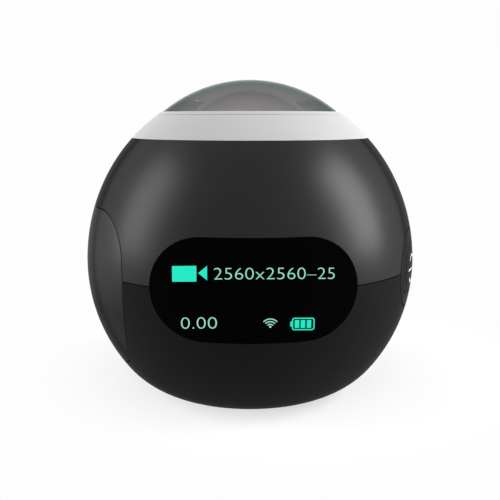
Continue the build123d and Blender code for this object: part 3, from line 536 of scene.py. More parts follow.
@dataclass(frozen=True)
class MouldedFinish(Finish):
    """Plastic, rubber or film with a fine grain and broad smudges.

    Its gloss falls to rim_share where the surface turns away, and below two heights to a lower
    share: painted shade towards the bottom.
    """

    base: Colour
    smudged: Colour
    roughness: float
    roughness_spread: float = 0.08
    grain_scale: float = 4000.0
    grain_depth: float = 0.004
    smudge_scale: float = 90.0
    specular: float = 0.5
    rim_share: float = 1.0
    rim_turns: tuple[float, float] = (0.4, 0.72)
    # Gloss share at the bottom and the heights of its fade: painted shade, darker towards the foot.
    shaded_foot_share: float = 1.0
    shade_fade_heights: tuple[float, float] = (19.0, 29.0)
    coat: float = 0.0

    def wire(self, graph: Graph, shader: Any, effects: Effects) -> None:
        """Feed grain, smudges and gloss."""
        scales = {"Grain Scale": self.grain_scale, "Smudge Scale": self.smudge_scale}
        skin = graph.group(effects.surface, scales).outputs
        low = self.roughness - self.roughness_spread
        high = self.roughness + self.roughness_spread
        graph.feed(
            shader,
            {
                "Base Color": graph.mix(skin["Smudge"], self.base, self.smudged),
                "Roughness": graph.spread(skin["Smudge"], low, high),
                "Normal": graph.relief(skin["Grain"], self.grain_depth),
                "Coat Weight": self.coat,
                "Specular IOR Level": self._gloss(graph),
            },
        )

    def _gloss(self, graph: Graph) -> Any:
        """The gloss as a number, or as a socket where it fades."""
        if self.rim_share == 1.0:
            return self.specular
        slope = graph.add("ShaderNodeLayerWeight", {"Blend": 0.5}).outputs["Facing"]
        rim_gloss = self.specular * self.rim_share
        level = graph.spread(slope, self.specular, rim_gloss, *self.rim_turns)
        if self.shaded_foot_share == 1.0:
            return level
        # Painted shade: the gloss falls towards the bottom, between the two heights.
        place = graph.add("ShaderNodeTexCoord").outputs["Object"]
        height = graph.add("ShaderNodeSeparateXYZ", {"Vector": place}).outputs["Z"]
        bottom, top = (edge * MM for edge in self.shade_fade_heights)
        painted_shade = graph.spread(height, self.shaded_foot_share, 1.0, bottom, top)
        return graph.work("MULTIPLY", level, painted_shade)


@dataclass(frozen=True)
class MetalFinish(Finish):
    """Bare metal with fine drawn lines."""

    base: Colour
    shade: Colour
    roughness: float
    roughness_drop: float = 0.08
    roughness_rise: float = 0.12
    line_scale: float = 3000.0
    line_depth: float = 0.003

    def wire(self, graph: Graph, shader: Any, effects: Effects) -> None:
        """Feed the drawn lines to colour, roughness and normal."""
        lines = graph.group(effects.brushed, {"Line Scale": self.line_scale}).outputs["Lines"]
        low, high = self.roughness - self.roughness_drop, self.roughness + self.roughness_rise
        graph.feed(
            shader,
            {
                "Base Color": graph.mix(lines, self.base, self.shade),
                "Roughness": graph.spread(lines, low, high),
                "Normal": graph.relief(lines, self.line_depth),
                "Metallic": 1.0,
            },
        )


@dataclass(frozen=True)
class BoardFinish(Finish):
    """Lacquered circuit board with tracks and pads."""

    lacquer: Colour
    track: Colour
    pad: Colour
    roughness: float = 0.32
    roughness_spread: float = 0.08
    track_depth: float = 0.02

    def wire(self, graph: Graph, shader: Any, effects: Effects) -> None:
        """Feed raised tracks and bare metal pads."""
        masks = graph.group(effects.traces, {"Track Scale": 600.0}).outputs
        skin = graph.group(effects.surface, {"Grain Scale": 2500.0, "Smudge Scale": 150.0})
        tracked = graph.mix(masks["Tracks"], self.lacquer, self.track)
        low = self.roughness - self.roughness_spread
        high = self.roughness + self.roughness_spread
        graph.feed(
            shader,
            {
                "Base Color": graph.mix(masks["Pads"], tracked, self.pad),
                "Metallic": masks["Pads"],
                "Roughness": graph.spread(skin.outputs["Smudge"], low, high),
                "Normal": graph.relief(masks["Tracks"], self.track_depth),
            },
        )


@dataclass(frozen=True)
class GlassFinish(Finish):
    """Coated glass whose colour and coating drift from its middle to its rim."""

    facing: Colour
    slanted: Colour
    grazing: Colour
    transmission: float
    roughness: float = 0.03
    roughness_rise: float = 0.04
    ior: float = 1.52
    coat_ior: float = 1.5
    sheen_shares: tuple[float, float, float] = (0.0, 0.0, 0.0)
    turns: tuple[float, float, float] = (0.05, 0.3, 0.72)

    def wire(self, graph: Graph, shader: Any, effects: Effects) -> None:
        """Feed the tint, the smudges and the coating."""
        skin = graph.group(effects.surface, {"Grain Scale": 300.0, "Smudge Scale": 60.0})
        roughest = self.roughness + self.roughness_rise
        rough = graph.spread(skin.outputs["Smudge"], self.roughness, roughest)
        slope = graph.add("ShaderNodeLayerWeight", {"Blend": 0.5}).outputs["Facing"]
        graph.feed(
            shader,
            {
                "Base Color": self._ramp(graph, slope, (self.facing, self.slanted, self.grazing)),
                "Roughness": rough,
                "Transmission Weight": self.transmission,
                "IOR": self.ior,
            },
        )
        if any(self.sheen_shares):
            greys = tuple(colour(share, share, share) for share in self.sheen_shares)
            graph.feed(
                shader,
                {
                    "Coat Weight": self._ramp(graph, slope, greys),
                    "Coat IOR": self.coat_ior,
                    "Coat Roughness": self.roughness,
                },
            )

    def _ramp(self, graph: Graph, slope: Any, tones: tuple[Colour, Colour, Colour]) -> Any:
        """A ramp over the slope from the middle of the glass to its rim.

        Args:
            graph: The material's graph.
            slope: The socket that grows from the middle to the rim.
            tones: The colours at the three turns.

        Returns:
            The socket of the ramp's colour.
        """
        ramp = graph.add("ShaderNodeValToRGB", {"Fac": slope})
        stops = ramp.color_ramp.elements
        stops[0].position, stops[0].color = self.turns[0], tones[0]
        stops[1].position, stops[1].color = self.turns[2], tones[2]
        stops.new(self.turns[1]).color = tones[1]
        return ramp.outputs["Color"]


@dataclass(frozen=True)
class GlowFinish(Finish):
    """Lit display segments, a little uneven."""

    glow: Colour
    core: Colour
    strength: float = 1.0

    def wire(self, graph: Graph, shader: Any, effects: Effects) -> None:
        """Feed the glow over a dark, dull base."""
        skin = graph.group(effects.surface, {"Grain Scale": 3000.0, "Smudge Scale": 900.0})
        graph.feed(
            shader,
            {
                "Emission Color": graph.mix(skin.outputs["Smudge"], self.glow, self.core),
                "Emission Strength": self.strength,
                "Base Color": colour(0.0, 0.02, 0.015),
                "Roughness": 0.5,
                "Specular IOR Level": 0.1,
            },
        )


# The looks by the record's material slot
FINISHES: dict[str, Finish] = {
    "shell": MouldedFinish(
        "shell_charcoal", colour(0.0085, 0.0085, 0.009), colour(0.0105, 0.0105, 0.011), 0.37,
        0.02, grain_depth=0.004, specular=0.16, rim_share=0.02,
    ),
    "ring": MouldedFinish(
        "ring_pale", colour(0.41, 0.41, 0.415), colour(0.44, 0.44, 0.445), 0.3, 0.04,
        grain_depth=0.001, coat=0.15,
    ),
    "lens_glass": GlassFinish(
        "glass_coated", colour(0.5, 0.6, 0.58), colour(0.55, 0.45, 0.55),
        colour(0.3, 0.5, 0.45), 0.9,
    ),
    "filter": GlassFinish(
        "glass_filter", colour(0.35, 0.7, 0.75), colour(0.4, 0.7, 0.75),
        colour(0.5, 0.75, 0.8), 0.85,
    ),
    "black_rubber": MouldedFinish(
        "rubber_black", colour(0.014, 0.014, 0.014), colour(0.024, 0.024, 0.024), 0.75,
        grain_scale=2500.0, grain_depth=0.02, specular=0.3,
    ),
    "lens_black": MouldedFinish(
        "lens_black", colour(0.006, 0.006, 0.007), colour(0.012, 0.012, 0.013), 0.55,
        grain_depth=0.004, specular=0.3,
    ),
    "screw_steel": MetalFinish(
        "steel_plated", colour(0.55, 0.55, 0.56), colour(0.42, 0.42, 0.44), 0.3
    ),
    "chip": MouldedFinish(
        "chip_package", colour(0.018, 0.018, 0.02), colour(0.035, 0.035, 0.038), 0.5,
        grain_scale=6000.0,
    ),
    "board": BoardFinish(
        "board_green", colour(0.012, 0.09, 0.045), colour(0.03, 0.17, 0.08),
        colour(0.75, 0.6, 0.3),
    ),
    "brass": MetalFinish("brass_machined", colour(0.78, 0.57, 0.27), colour(0.6, 0.42, 0.18), 0.28),
    "can_metal": MetalFinish("tinned_sheet", colour(0.66, 0.66, 0.65), colour(0.5, 0.5, 0.5), 0.3),
    "socket": MouldedFinish(
        "socket_nylon", colour(0.7, 0.65, 0.53), colour(0.6, 0.56, 0.46), 0.5, grain_scale=6000.0
    ),
    "flex": MouldedFinish(
        "flex_film", colour(0.5, 0.22, 0.03), colour(0.35, 0.14, 0.02), 0.22, grain_scale=900.0
    ),
    "frame_plastic": MouldedFinish(
        "frame_black", colour(0.02, 0.02, 0.021), colour(0.032, 0.032, 0.034), 0.55,
        grain_depth=0.008, specular=0.4,
    ),
    "battery_wrap": MouldedFinish(
        "battery_wrap", colour(0.02, 0.024, 0.04), colour(0.03, 0.036, 0.055), 0.28,
        grain_scale=1500.0, grain_depth=0.002, coat=0.3,
    ),
    "card": MouldedFinish(
        "card_black", colour(0.016, 0.016, 0.018), colour(0.028, 0.028, 0.03), 0.42,
        grain_scale=6000.0,
    ),
    "window": MouldedFinish(
        "window_black", colour(0.0004, 0.0004, 0.0004), colour(0.0008, 0.0008, 0.0008), 0.1,
        0.03, grain_depth=0.0, specular=0.008, rim_share=0.3,
    ),
    "screen": MouldedFinish(
        "screen_glass", colour(0.006, 0.008, 0.01), colour(0.01, 0.013, 0.015), 0.08, 0.03,
        grain_depth=0.0,
    ),
    "foam": MouldedFinish(
        "foam_black", colour(0.012, 0.012, 0.012), colour(0.03, 0.03, 0.03), 0.9,
        grain_scale=2200.0, grain_depth=0.06,
    ),
    "strip": MouldedFinish(
        "strip_charcoal", colour(0.0055, 0.0055, 0.006), colour(0.0075, 0.0075, 0.008), 0.45,
        0.03, grain_depth=0.003, specular=0.075, rim_share=0.15,
    ),
}
# The lower shell: a slightly deeper charcoal than the upper one, with far less gloss, which is
# painted shade on the lower half.
LOWER_SHELL = MouldedFinish(
    "shell_charcoal_deep_and_shaded", colour(0.0075, 0.0075, 0.0085), colour(0.0092, 0.0092, 0.0102), 0.45,
    0.03, grain_depth=0.004, specular=0.022, rim_share=0.3,
)
# The door's gloss falls towards its foot between two heights: painted shade.
DOOR_SHELL = MouldedFinish(
    "shell_charcoal_door_shaded_foot", colour(0.0075, 0.0075, 0.008), colour(0.0095, 0.0095, 0.01), 0.38,
    0.02, grain_depth=0.004, specular=0.28, rim_share=0.05, shaded_foot_share=0.24,
    shade_fade_heights=(18.0, 27.0),
)
# The dome's magenta tint where it slants and green tint at its rim are a painted reflection of the
# lens coating's colours.
DOME_GLASS = GlassFinish(
    "glass_dome", colour(0.8, 0.82, 0.84), colour(0.12, 0.06, 0.085), colour(0.05, 0.12, 0.085),
    0.97, ior=1.05, coat_ior=2.4, sheen_shares=(0.15, 1.0, 0.1), turns=(0.08, 0.4, 0.78),
)
# Black paint on the dome's seat; its green at grazing angles is a painted reflection of the lens
# coating.
EDGE_PAINT_AND_SHEEN = GlassFinish(
    "edge_paint_and_painted_sheen", colour(0.006, 0.006, 0.007), colour(0.02, 0.04, 0.03), colour(0.22, 0.8, 0.58),
    0.0, roughness=0.5, ior=1.05, turns=(0.3, 0.6, 0.85),
)
SCREEN_GLOW = GlowFinish("display_glow", colour(0.006, 0.75, 0.5), colour(0.02, 0.82, 0.56), 1.0)
DIGIT_GLOW = GlowFinish("digit_glow", colour(0.26, 0.7, 0.53), colour(0.38, 0.78, 0.63), 1.0)
WHITE_PRINT = MouldedFinish("print_white", colour(0.46, 0.46, 0.46), colour(0.52, 0.52, 0.52), 0.5)


@dataclass
class Workshop:
    """Makes each material once and hands pieces over to the frame."""

    effects: Effects = field(default_factory=Effects)
    made: dict[str, bpy.types.Material] = field(default_factory=dict)

    def paint(self, finish: Finish) -> bpy.types.Material:
        """The material of a finish, built at its first use.

        Args:
            finish: One of the finish classes' values.

        Returns:
            The material.
        """
        if finish.name not in self.made:
            self.made[finish.name] = finish.make(self.effects)
        return self.made[finish.name]

    def dress(self, piece: bpy.types.Object, finish: Finish) -> None:
        """Give a piece one material all over.

        Args:
            piece: The piece.
            finish: Its finish.
        """
        piece.data.materials.clear()
        piece.data.materials.append(self.paint(finish))

    def deliver(
        self,
        piece: bpy.types.Object,
        finish: Finish,
        slot: str,
        body: str = ROOT_BODY,
        stands_for: str = "",
    ) -> bpy.types.Object:
        """Dress a finished piece, tie it to its body and hide the CAD node that it stands for.

        Args:
            piece: The piece, with its place in its mesh.
            finish: Its finish.
            slot: The record's material slot; not used.
            body: The CAD body that it rides on.
            stands_for: The CAD node that it replaces, if any.

        Returns:
            The piece.
        """
        self.dress(piece, finish)
        soften(piece)
        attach(piece, body)
        if stands_for:
            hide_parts(stands_for)
        LOG.info("piece %s: %d faces", piece.name, len(piece.data.polygons))
        return piece


# The camera's own parts


@dataclass(frozen=True)
class BodyForm:
    """The outside of the body, which every skin piece follows."""

    radius: float = 29.0
    seam: float = 23.7
    crown_rise: float = 30.9
    blend_radius: float = 14.935
    ring_bottom: float = 45.35
    ring_top: float = 49.8
    reach: float = 30.0

    @property
    def flat_radius(self) -> float:
        """Radius of the flat base."""
        return math.sqrt(
            (self.radius - self.blend_radius) ** 2 - (self.seam - self.blend_radius) ** 2
        )

    def radius_at(self, height: float, inset: float = 0.0) -> float:
        """Radius of the outline, moved inward by inset, at a height.

        Args:
            height: Height over the floor.
            inset: How far the outline is moved inward.

        Returns:
            The radius.
        """
        ball = self.radius - inset
        if height >= self.seam:
            share = (height - self.seam) / (self.crown_rise - inset)
            return ball * math.sqrt(max(0.0, 1.0 - share * share))
        drop = self.seam - self.blend_radius
        join = self.seam - ball * drop / (self.radius - self.blend_radius)
        if height >= join:
            return math.sqrt(ball**2 - (self.seam - height) ** 2)
        blend = self.blend_radius - inset
        return self.flat_radius + math.sqrt(max(0.0, blend**2 - (self.blend_radius - height) ** 2))

    def section(
        self, bottom: float, top: float, inset: float = 0.0, steps: int = 48
    ) -> list[Vector]:
        """Points of the outline from one height up to another.

        Args:
            bottom: Height of the first point.
            top: Height of the last point.
            inset: How far the outline is moved inward.
            steps: How many steps lie between them.

        Returns:
            The points, closer together towards both ends.
        """
        points = []
        for step in range(steps + 1):
            share = (1 - math.cos(math.pi * step / steps)) / 2
            height = bottom + (top - bottom) * share
            points.append(at(self.radius_at(height, inset), height))
        return points

    def layer(self, bottom: float, top: float, outer: float, inner: float) -> bpy.types.Object:
        """A thin closed skin between two insets and two heights.

        Args:
            bottom: Lowest height.
            top: Highest height.
            outer: Inset of its outer face, negative to stand proud.
            inner: Inset of its inner face.

        Returns:
            The skin, all the way round.
        """
        points = self.section(bottom, top, outer) + self.section(bottom, top, inner)[::-1]
        return turn_profile("skin_layer", points)

    def solid(self, inset: float, bottom: float, top: float) -> bpy.types.Object:
        """The filled body between two heights.

        Args:
            inset: How far the outline is moved inward.
            bottom: Height of its flat underside.
            top: Height of its flat top.

        Returns:
            The solid.
        """
        points = [at(0, bottom), *self.section(bottom, top, inset), at(0, top)]
        return turn_profile("body_solid", points, closed=False)


def stadium(length: float, height: float, inset: float, middle: Vector) -> list[Vector]:
    """Corners of a stadium outline.

    Args:
        length: Length over its round ends.
        height: Height.
        inset: How far it is moved inward.
        middle: Its middle.

    Returns:
        The corners.
    """
    radius = height / 2 - inset
    half = (length - height) / 2
    right = arc((middle.x + half, middle.z), radius, -90, 90, 24)
    left = arc((middle.x - half, middle.z), radius, 90, 270, 24)
    return right + left


def circle(middle: Vector, radius: float, steps: int = 48) -> list[Vector]:
    """Corners of a round outline."""
    return arc((middle.x, middle.z), radius, 0, 360, steps)[:-1]


@dataclass
class DoorForm:
    """The side door's outline: a circle with a flat top and bottom and rounded corners."""

    form: BodyForm
    radius: float = 20.8
    top_rise: float = 10.4
    bottom_drop: float = 15.9
    top_corner: float = 8.5
    bottom_corner: float = 6.0

    def outline(self, inset: float) -> list[Vector]:
        """Corners of the outline, moved inward by inset.

        Args:
            inset: How far it is moved inward.

        Returns:
            The corners, seen from the door's side.
        """
        radius = self.radius - inset
        high = self._corner(radius, self.top_rise - inset, self.top_corner - inset)
        low = self._corner(radius, self.bottom_drop - inset, self.bottom_corner - inset)
        seam = self.form.seam
        upper = arc((high[0], seam + high[1]), high[2], 90, high[3], 12)
        lower = arc((low[0], seam - low[1]), low[2], -low[3], -90, 12)
        right = upper + arc((0, seam), radius, high[3], -low[3], 32)[1:-1] + lower
        left = [at(-point.x, point.z) for point in reversed(right)]
        return right + left

    def _corner(
        self, radius: float, rise: float, corner: float
    ) -> tuple[float, float, float, float]:
        """Place of a corner's rounding between the circle and a flat.

        Args:
            radius: Radius of the circle.
            rise: Distance of the flat from the middle.
            corner: Radius of the rounding.

        Returns:
            Its middle across and up, its radius, and the angle where it meets the circle.
        """
        height = rise - corner
        across = math.sqrt((radius - corner) ** 2 - height**2)
        return across, height, corner, math.degrees(math.atan2(height, across))


@dataclass
class Shells:
    """The two halves of the body, with the openings for what is set into them."""

    form: BodyForm
    door: DoorForm
    shop: Workshop
    wall: float = 1.8
    deck: float = 1.6
    deck_hole: float = 10.7
    window: tuple[float, float] = (31.5, 15.9)
    strip: tuple[float, float] = (32.4, 13.6)
    recess: float = 1.05
    ledge: float = 1.2
    floor: float = 3.4
    edge: float = 0.05
    edge_angle: float = 60.0
    groove_half: float = 0.1
    groove_depth: float = 0.4
    socket_hole: float = 4.65
    pad_groove: tuple[float, float] = (5.6, 10.4)
    pad_depth: float = 0.8
    sunk_start: float = 20.0
    sunk_heights: tuple[float, float] = (8.0, 40.0)

    def build(self) -> None:
        """Model both shells and cut their openings."""
        middle = at(0, self.form.seam)
        sizes = ((self.window, Side.FRONT), (self.strip, Side.KEYS))
        cutters = [self._sunk(stadium(*size, 0, middle), side) for size, side in sizes]
        cutters += [
            push_outline("hole", stadium(*size, self.ledge, middle), side, HOLE_START, CUT_END)
            for size, side in sizes
        ]
        cutters.append(
            push_outline("door_hole", self.door.outline(0), Side.DOOR, DOOR_START, CUT_END)
        )
        halves = (
            ("lower_shell", self._lower(), LOWER_SHELL),
            ("upper_shell", self._upper(), FINISHES["shell"]),
        )
        for name, profile, finish in halves:
            shell = turn_profile(f"{name}_skin", profile)
            round_edges(shell, self.edge, self.edge_angle)
            for cutter in cutters:
                combine(shell, cutter, Cut.AWAY, keep_tool=True)
            self.shop.deliver(shell, finish, "shell", stands_for=name)
        for cutter in cutters:
            bpy.data.objects.remove(cutter)

    def _sunk(self, outline: list[Vector], side: Side) -> bpy.types.Object:
        """A cutter that sinks an outline into the skin.

        Args:
            outline: The outline.
            side: The side that it faces.

        Returns:
            The cutter.
        """
        cutter = push_outline("recess", outline, side, self.sunk_start, self.form.reach)
        return combine(cutter, self.form.solid(self.recess, *self.sunk_heights), Cut.AWAY)

    def _lower(self) -> list[Vector]:
        """Profile of the lower shell, with the groove for the pad and the socket's hole."""
        form = self.form
        inner, outer = self.pad_groove
        return [
            at(self.socket_hole, self.floor),
            at(self.socket_hole, 0),
            at(inner, 0),
            at(inner, self.pad_depth),
            at(outer, self.pad_depth),
            at(outer, 0),
            *form.section(0, form.seam - self.groove_half),
            at(form.radius - self.groove_depth, form.seam - self.groove_half),
            at(form.radius - self.groove_depth, form.seam),
            *form.section(self.floor, form.seam, self.wall)[::-1],
        ]

    def _upper(self) -> list[Vector]:
        """Profile of the upper shell with its deck under the ring."""
        form = self.form
        under = form.ring_bottom - self.deck
        return [
            at(form.radius - self.groove_depth, form.seam),
            at(form.radius - self.groove_depth, form.seam + self.groove_half),
            *form.section(form.seam + self.groove_half, form.ring_bottom),
            at(self.deck_hole, form.ring_bottom),
            at(self.deck_hole, under),
            *form.section(form.seam, under, self.wall)[::-1],
        ]


@dataclass
class TopOptics:
    """The pale ring and the glass dome in it."""

    form: BodyForm
    shop: Workshop
    bore: float = 15.354
    ring_edge: float = 0.06
    lip_drop: float = 0.52
    lip_width: float = 0.16
    lip_depth: float = 0.05
    dome_radius: float = 24.0
    dome_edge: float = 15.304
    dome_seat: float = 48.2
    hollow_radius: float = 13.0
    hollow_opening: float = 10.1
    paint_edge: float = 0.12
    paint_lift: float = 0.04

    def build(self) -> None:
        """Model the ring, the dome and the black paint on the dome's seat, with its painted green
        reflection at grazing angles.
        """
        form = self.form
        groove_top = form.ring_top - self.lip_drop
        groove_bottom = groove_top - self.lip_width
        profile = [
            at(self.bore, form.ring_bottom),
            *form.section(form.ring_bottom, groove_bottom, steps=20),
            *form.section(groove_bottom, groove_top, self.lip_depth, steps=2),
            *form.section(groove_top, form.ring_top, steps=6),
            at(self.bore, form.ring_top),
        ]
        ring = turn_profile("trim_ring_skin", profile)
        round_edges(ring, self.ring_edge)
        self.shop.deliver(ring, FINISHES["ring"], "ring", stands_for="trim_ring")
        dome = turn_profile("dome_glass", self._dome_profile(), closed=False)
        self.shop.deliver(dome, DOME_GLASS, "lens_glass", stands_for="dome_lens")
        inner, outer = self.hollow_opening + self.paint_edge, self.dome_edge - self.paint_edge
        low = self.dome_seat + self.paint_lift
        high = low + self.paint_lift
        corners = [at(inner, low), at(outer, low), at(outer, high), at(inner, high)]
        paint = turn_profile("dome_edge_paint", corners)
        self.shop.deliver(paint, EDGE_PAINT_AND_SHEEN, "lens_black")

    def _dome_profile(self) -> list[Vector]:
        """Profile of the dome, from its hollow's middle round its edge to its top."""
        half = math.degrees(math.asin(self.dome_edge / self.dome_radius))
        hollow = math.degrees(math.asin(self.hollow_opening / self.hollow_radius))
        top = self.form.ring_top - self.dome_radius * math.cos(math.radians(half))
        under = self.dome_seat - self.hollow_radius * math.cos(math.radians(hollow))
        inner = arc((0, under), self.hollow_radius, 90, 90 - hollow, 24)
        outer = arc((0, top), self.dome_radius, 90 - half, 90, 40)
        inner[0].x = 0
        outer[-1].x = 0
        return [*inner, at(self.dome_edge, self.dome_seat), *outer]


@dataclass
class FrontDisplay:
    """The black window and what its screen shows."""

    form: BodyForm
    shop: Workshop
    length: float = 31.5
    height: float = 15.9
    thickness: float = 1.0
    gap: float = 0.05
    proud: float = 0.02
    climbs: tuple[float, float] = (0.2115, 0.28)
    letter_size: float = 3.0
    stroke_thinning: float = 0.05
    wave_radii: tuple[float, ...] = (0.55, 0.95, 1.35)
    wave_half: float = 0.08
    wave_dot: float = 0.17
    bar_lefts: tuple[float, ...] = (5.96, 6.86, 7.78)
    bar_width: float = 0.68

    def build(self) -> None:
        """Model the window and the lit signs."""
        middle = at(0, self.form.seam)
        outline = stadium(self.length, self.height, self.gap, middle)
        window = push_outline(
            "display_window_skin", outline, Side.FRONT, PRISM_START, self.form.reach
        )
        combine(window, self.form.layer(*SKIN_BAND, 0, self.thickness), Cut.KEEP_SHARED)
        self.shop.deliver(window, FINISHES["window"], "window", stands_for="display_window")
        self._signs()

    def _signs(self) -> None:
        """Lay each lit sign on the window's surface."""
        layer = self.form.layer(*SKIN_BAND, -self.proud, SIGN_DEPTH)
        high, low = self.climbs
        signs = [
            (self._film_camera(high), "sign_camera", SCREEN_GLOW),
            (
                self._number("2560x2560\u201325", (-5.9, 11.95), (25.95, 27.69), high),
                "sign_frame",
                DIGIT_GLOW,
            ),
            (self._number("0.00", (-10.9, -5.5), (18.73, 20.48), low), "sign_value", DIGIT_GLOW),
            (self._waves((2.32, 18.79), low), "sign_wireless", DIGIT_GLOW),
            (self._battery(low), "sign_battery", SCREEN_GLOW),
        ]
        for sign, name, finish in signs:
            sign.name = name
            combine(sign, layer, Cut.KEEP_SHARED, keep_tool=True, crosses_itself=True)
            self.shop.deliver(sign, finish, "screen")
        bpy.data.objects.remove(layer)

    def _block(self, outline: list[Vector], climb: float) -> bpy.types.Object:
        """A prism of one sign outline, through the window's skin."""
        return push_outline("sign", outline, Side.FRONT, SIGN_START, self.form.reach, climb)

    def _box(
        self, across: tuple[float, float], heights: tuple[float, float], climb: float
    ) -> bpy.types.Object:
        """A prism with a rectangular outline."""
        (left, right), (bottom, top) = across, heights
        corners = [at(left, bottom), at(right, bottom), at(right, top), at(left, top)]
        return self._block(corners, climb)

    def _pill(
        self,
        across: tuple[float, float],
        heights: tuple[float, float],
        round_by: float,
        climb: float,
    ) -> bpy.types.Object:
        """A prism with a rectangular outline and round corners."""
        (left, right), (bottom, top) = across, heights
        places = ((right, top), (left, top), (left, bottom), (right, bottom))
        inward = ((-1, -1), (1, -1), (1, 1), (-1, 1))
        corners = []
        for turn, (place, move) in enumerate(zip(places, inward)):
            middle = (place[0] + move[0] * round_by, place[1] + move[1] * round_by)
            corners += arc(middle, round_by, 90 * turn, 90 * turn + 90, 6)
        return self._block(corners, climb)

    def _film_camera(self, climb: float) -> bpy.types.Object:
        """The filming sign: a block with a wedge beside it."""
        sign = self._box((-12.1, -8.45), (25.68, 28.03), climb)
        wedge = [at(-8.2, 26.94), at(-6.88, 25.86), at(-6.88, 28.02)]
        return combine(sign, self._block(wedge, climb), Cut.JOIN)

    def _battery(self, climb: float) -> bpy.types.Object:
        """The charge sign: a rounded frame with a stub and three bars."""
        sign = self._pill((5.52, 8.99), (18.4, 20.32), 0.42, climb)
        combine(sign, self._pill((5.71, 8.8), (18.59, 20.13), 0.25, climb), Cut.AWAY)
        combine(sign, self._box((5.28, 5.53), (19.0, 19.72), climb), Cut.JOIN)
        for left in self.bar_lefts:
            bar = self._box((left, left + self.bar_width), (18.76, 19.96), climb)
            combine(sign, bar, Cut.JOIN)
        return sign

    def _waves(self, foot: tuple[float, float], climb: float) -> bpy.types.Object:
        """A wireless sign: a dot with three arcs over it."""
        dot = circle(at(foot[0], foot[1] + self.wave_dot), self.wave_dot, 16)
        sign = self._block(dot, climb)
        for radius in self.wave_radii:
            outer = arc(foot, radius + self.wave_half, 42, 138, 12)
            inner = arc(foot, radius - self.wave_half, 138, 42, 12)
            combine(sign, self._block(outer + inner, climb), Cut.JOIN)
        return sign

    def _number(
        self, text: str, across: tuple[float, float], heights: tuple[float, float], climb: float
    ) -> bpy.types.Object:
        """A plain number as a solid that reaches through the window's skin.

        Args:
            text: The number.
            across: Its left and right ends.
            heights: Its lower and upper ends.
            climb: How far the solid climbs for each millimetre outwards.

        Returns:
            The solid.
        """
        bpy.ops.object.select_all(action="DESELECT")
        bpy.ops.object.text_add(rotation=(math.radians(90), 0, 0))
        label = bpy.context.object
        label.data.body = text
        label.data.size = self.letter_size * MM
        label.data.resolution_u = 4
        label.data.offset = -self.stroke_thinning * MM
        bpy.ops.object.convert(target="MESH")
        bpy.ops.object.transform_apply(location=True, rotation=True, scale=True)
        corners = [vertex.co for vertex in label.data.vertices]
        low = Vector(min(c[axis] for c in corners) for axis in range(3))
        high = Vector(max(c[axis] for c in corners) for axis in range(3))
        wide = (across[1] - across[0]) * MM / (high.x - low.x)
        tall = (heights[1] - heights[0]) * MM / (high.z - low.z)
        start, end = SIGN_START, self.form.reach
        label.scale = (wide, 1, tall)
        label.location = (
            across[0] * MM - low.x * wide,
            -start * MM,
            (heights[0] - climb * (end - start)) * MM - low.z * tall,
        )
        bpy.ops.object.transform_apply(location=True, rotation=True, scale=True)
        edit_all(label)
        away = Vector((0, start - end, climb * (end - start))) * MM
        bpy.ops.mesh.extrude_region_move(TRANSFORM_OT_translate={"value": away})
        tidy_mesh()
        return label


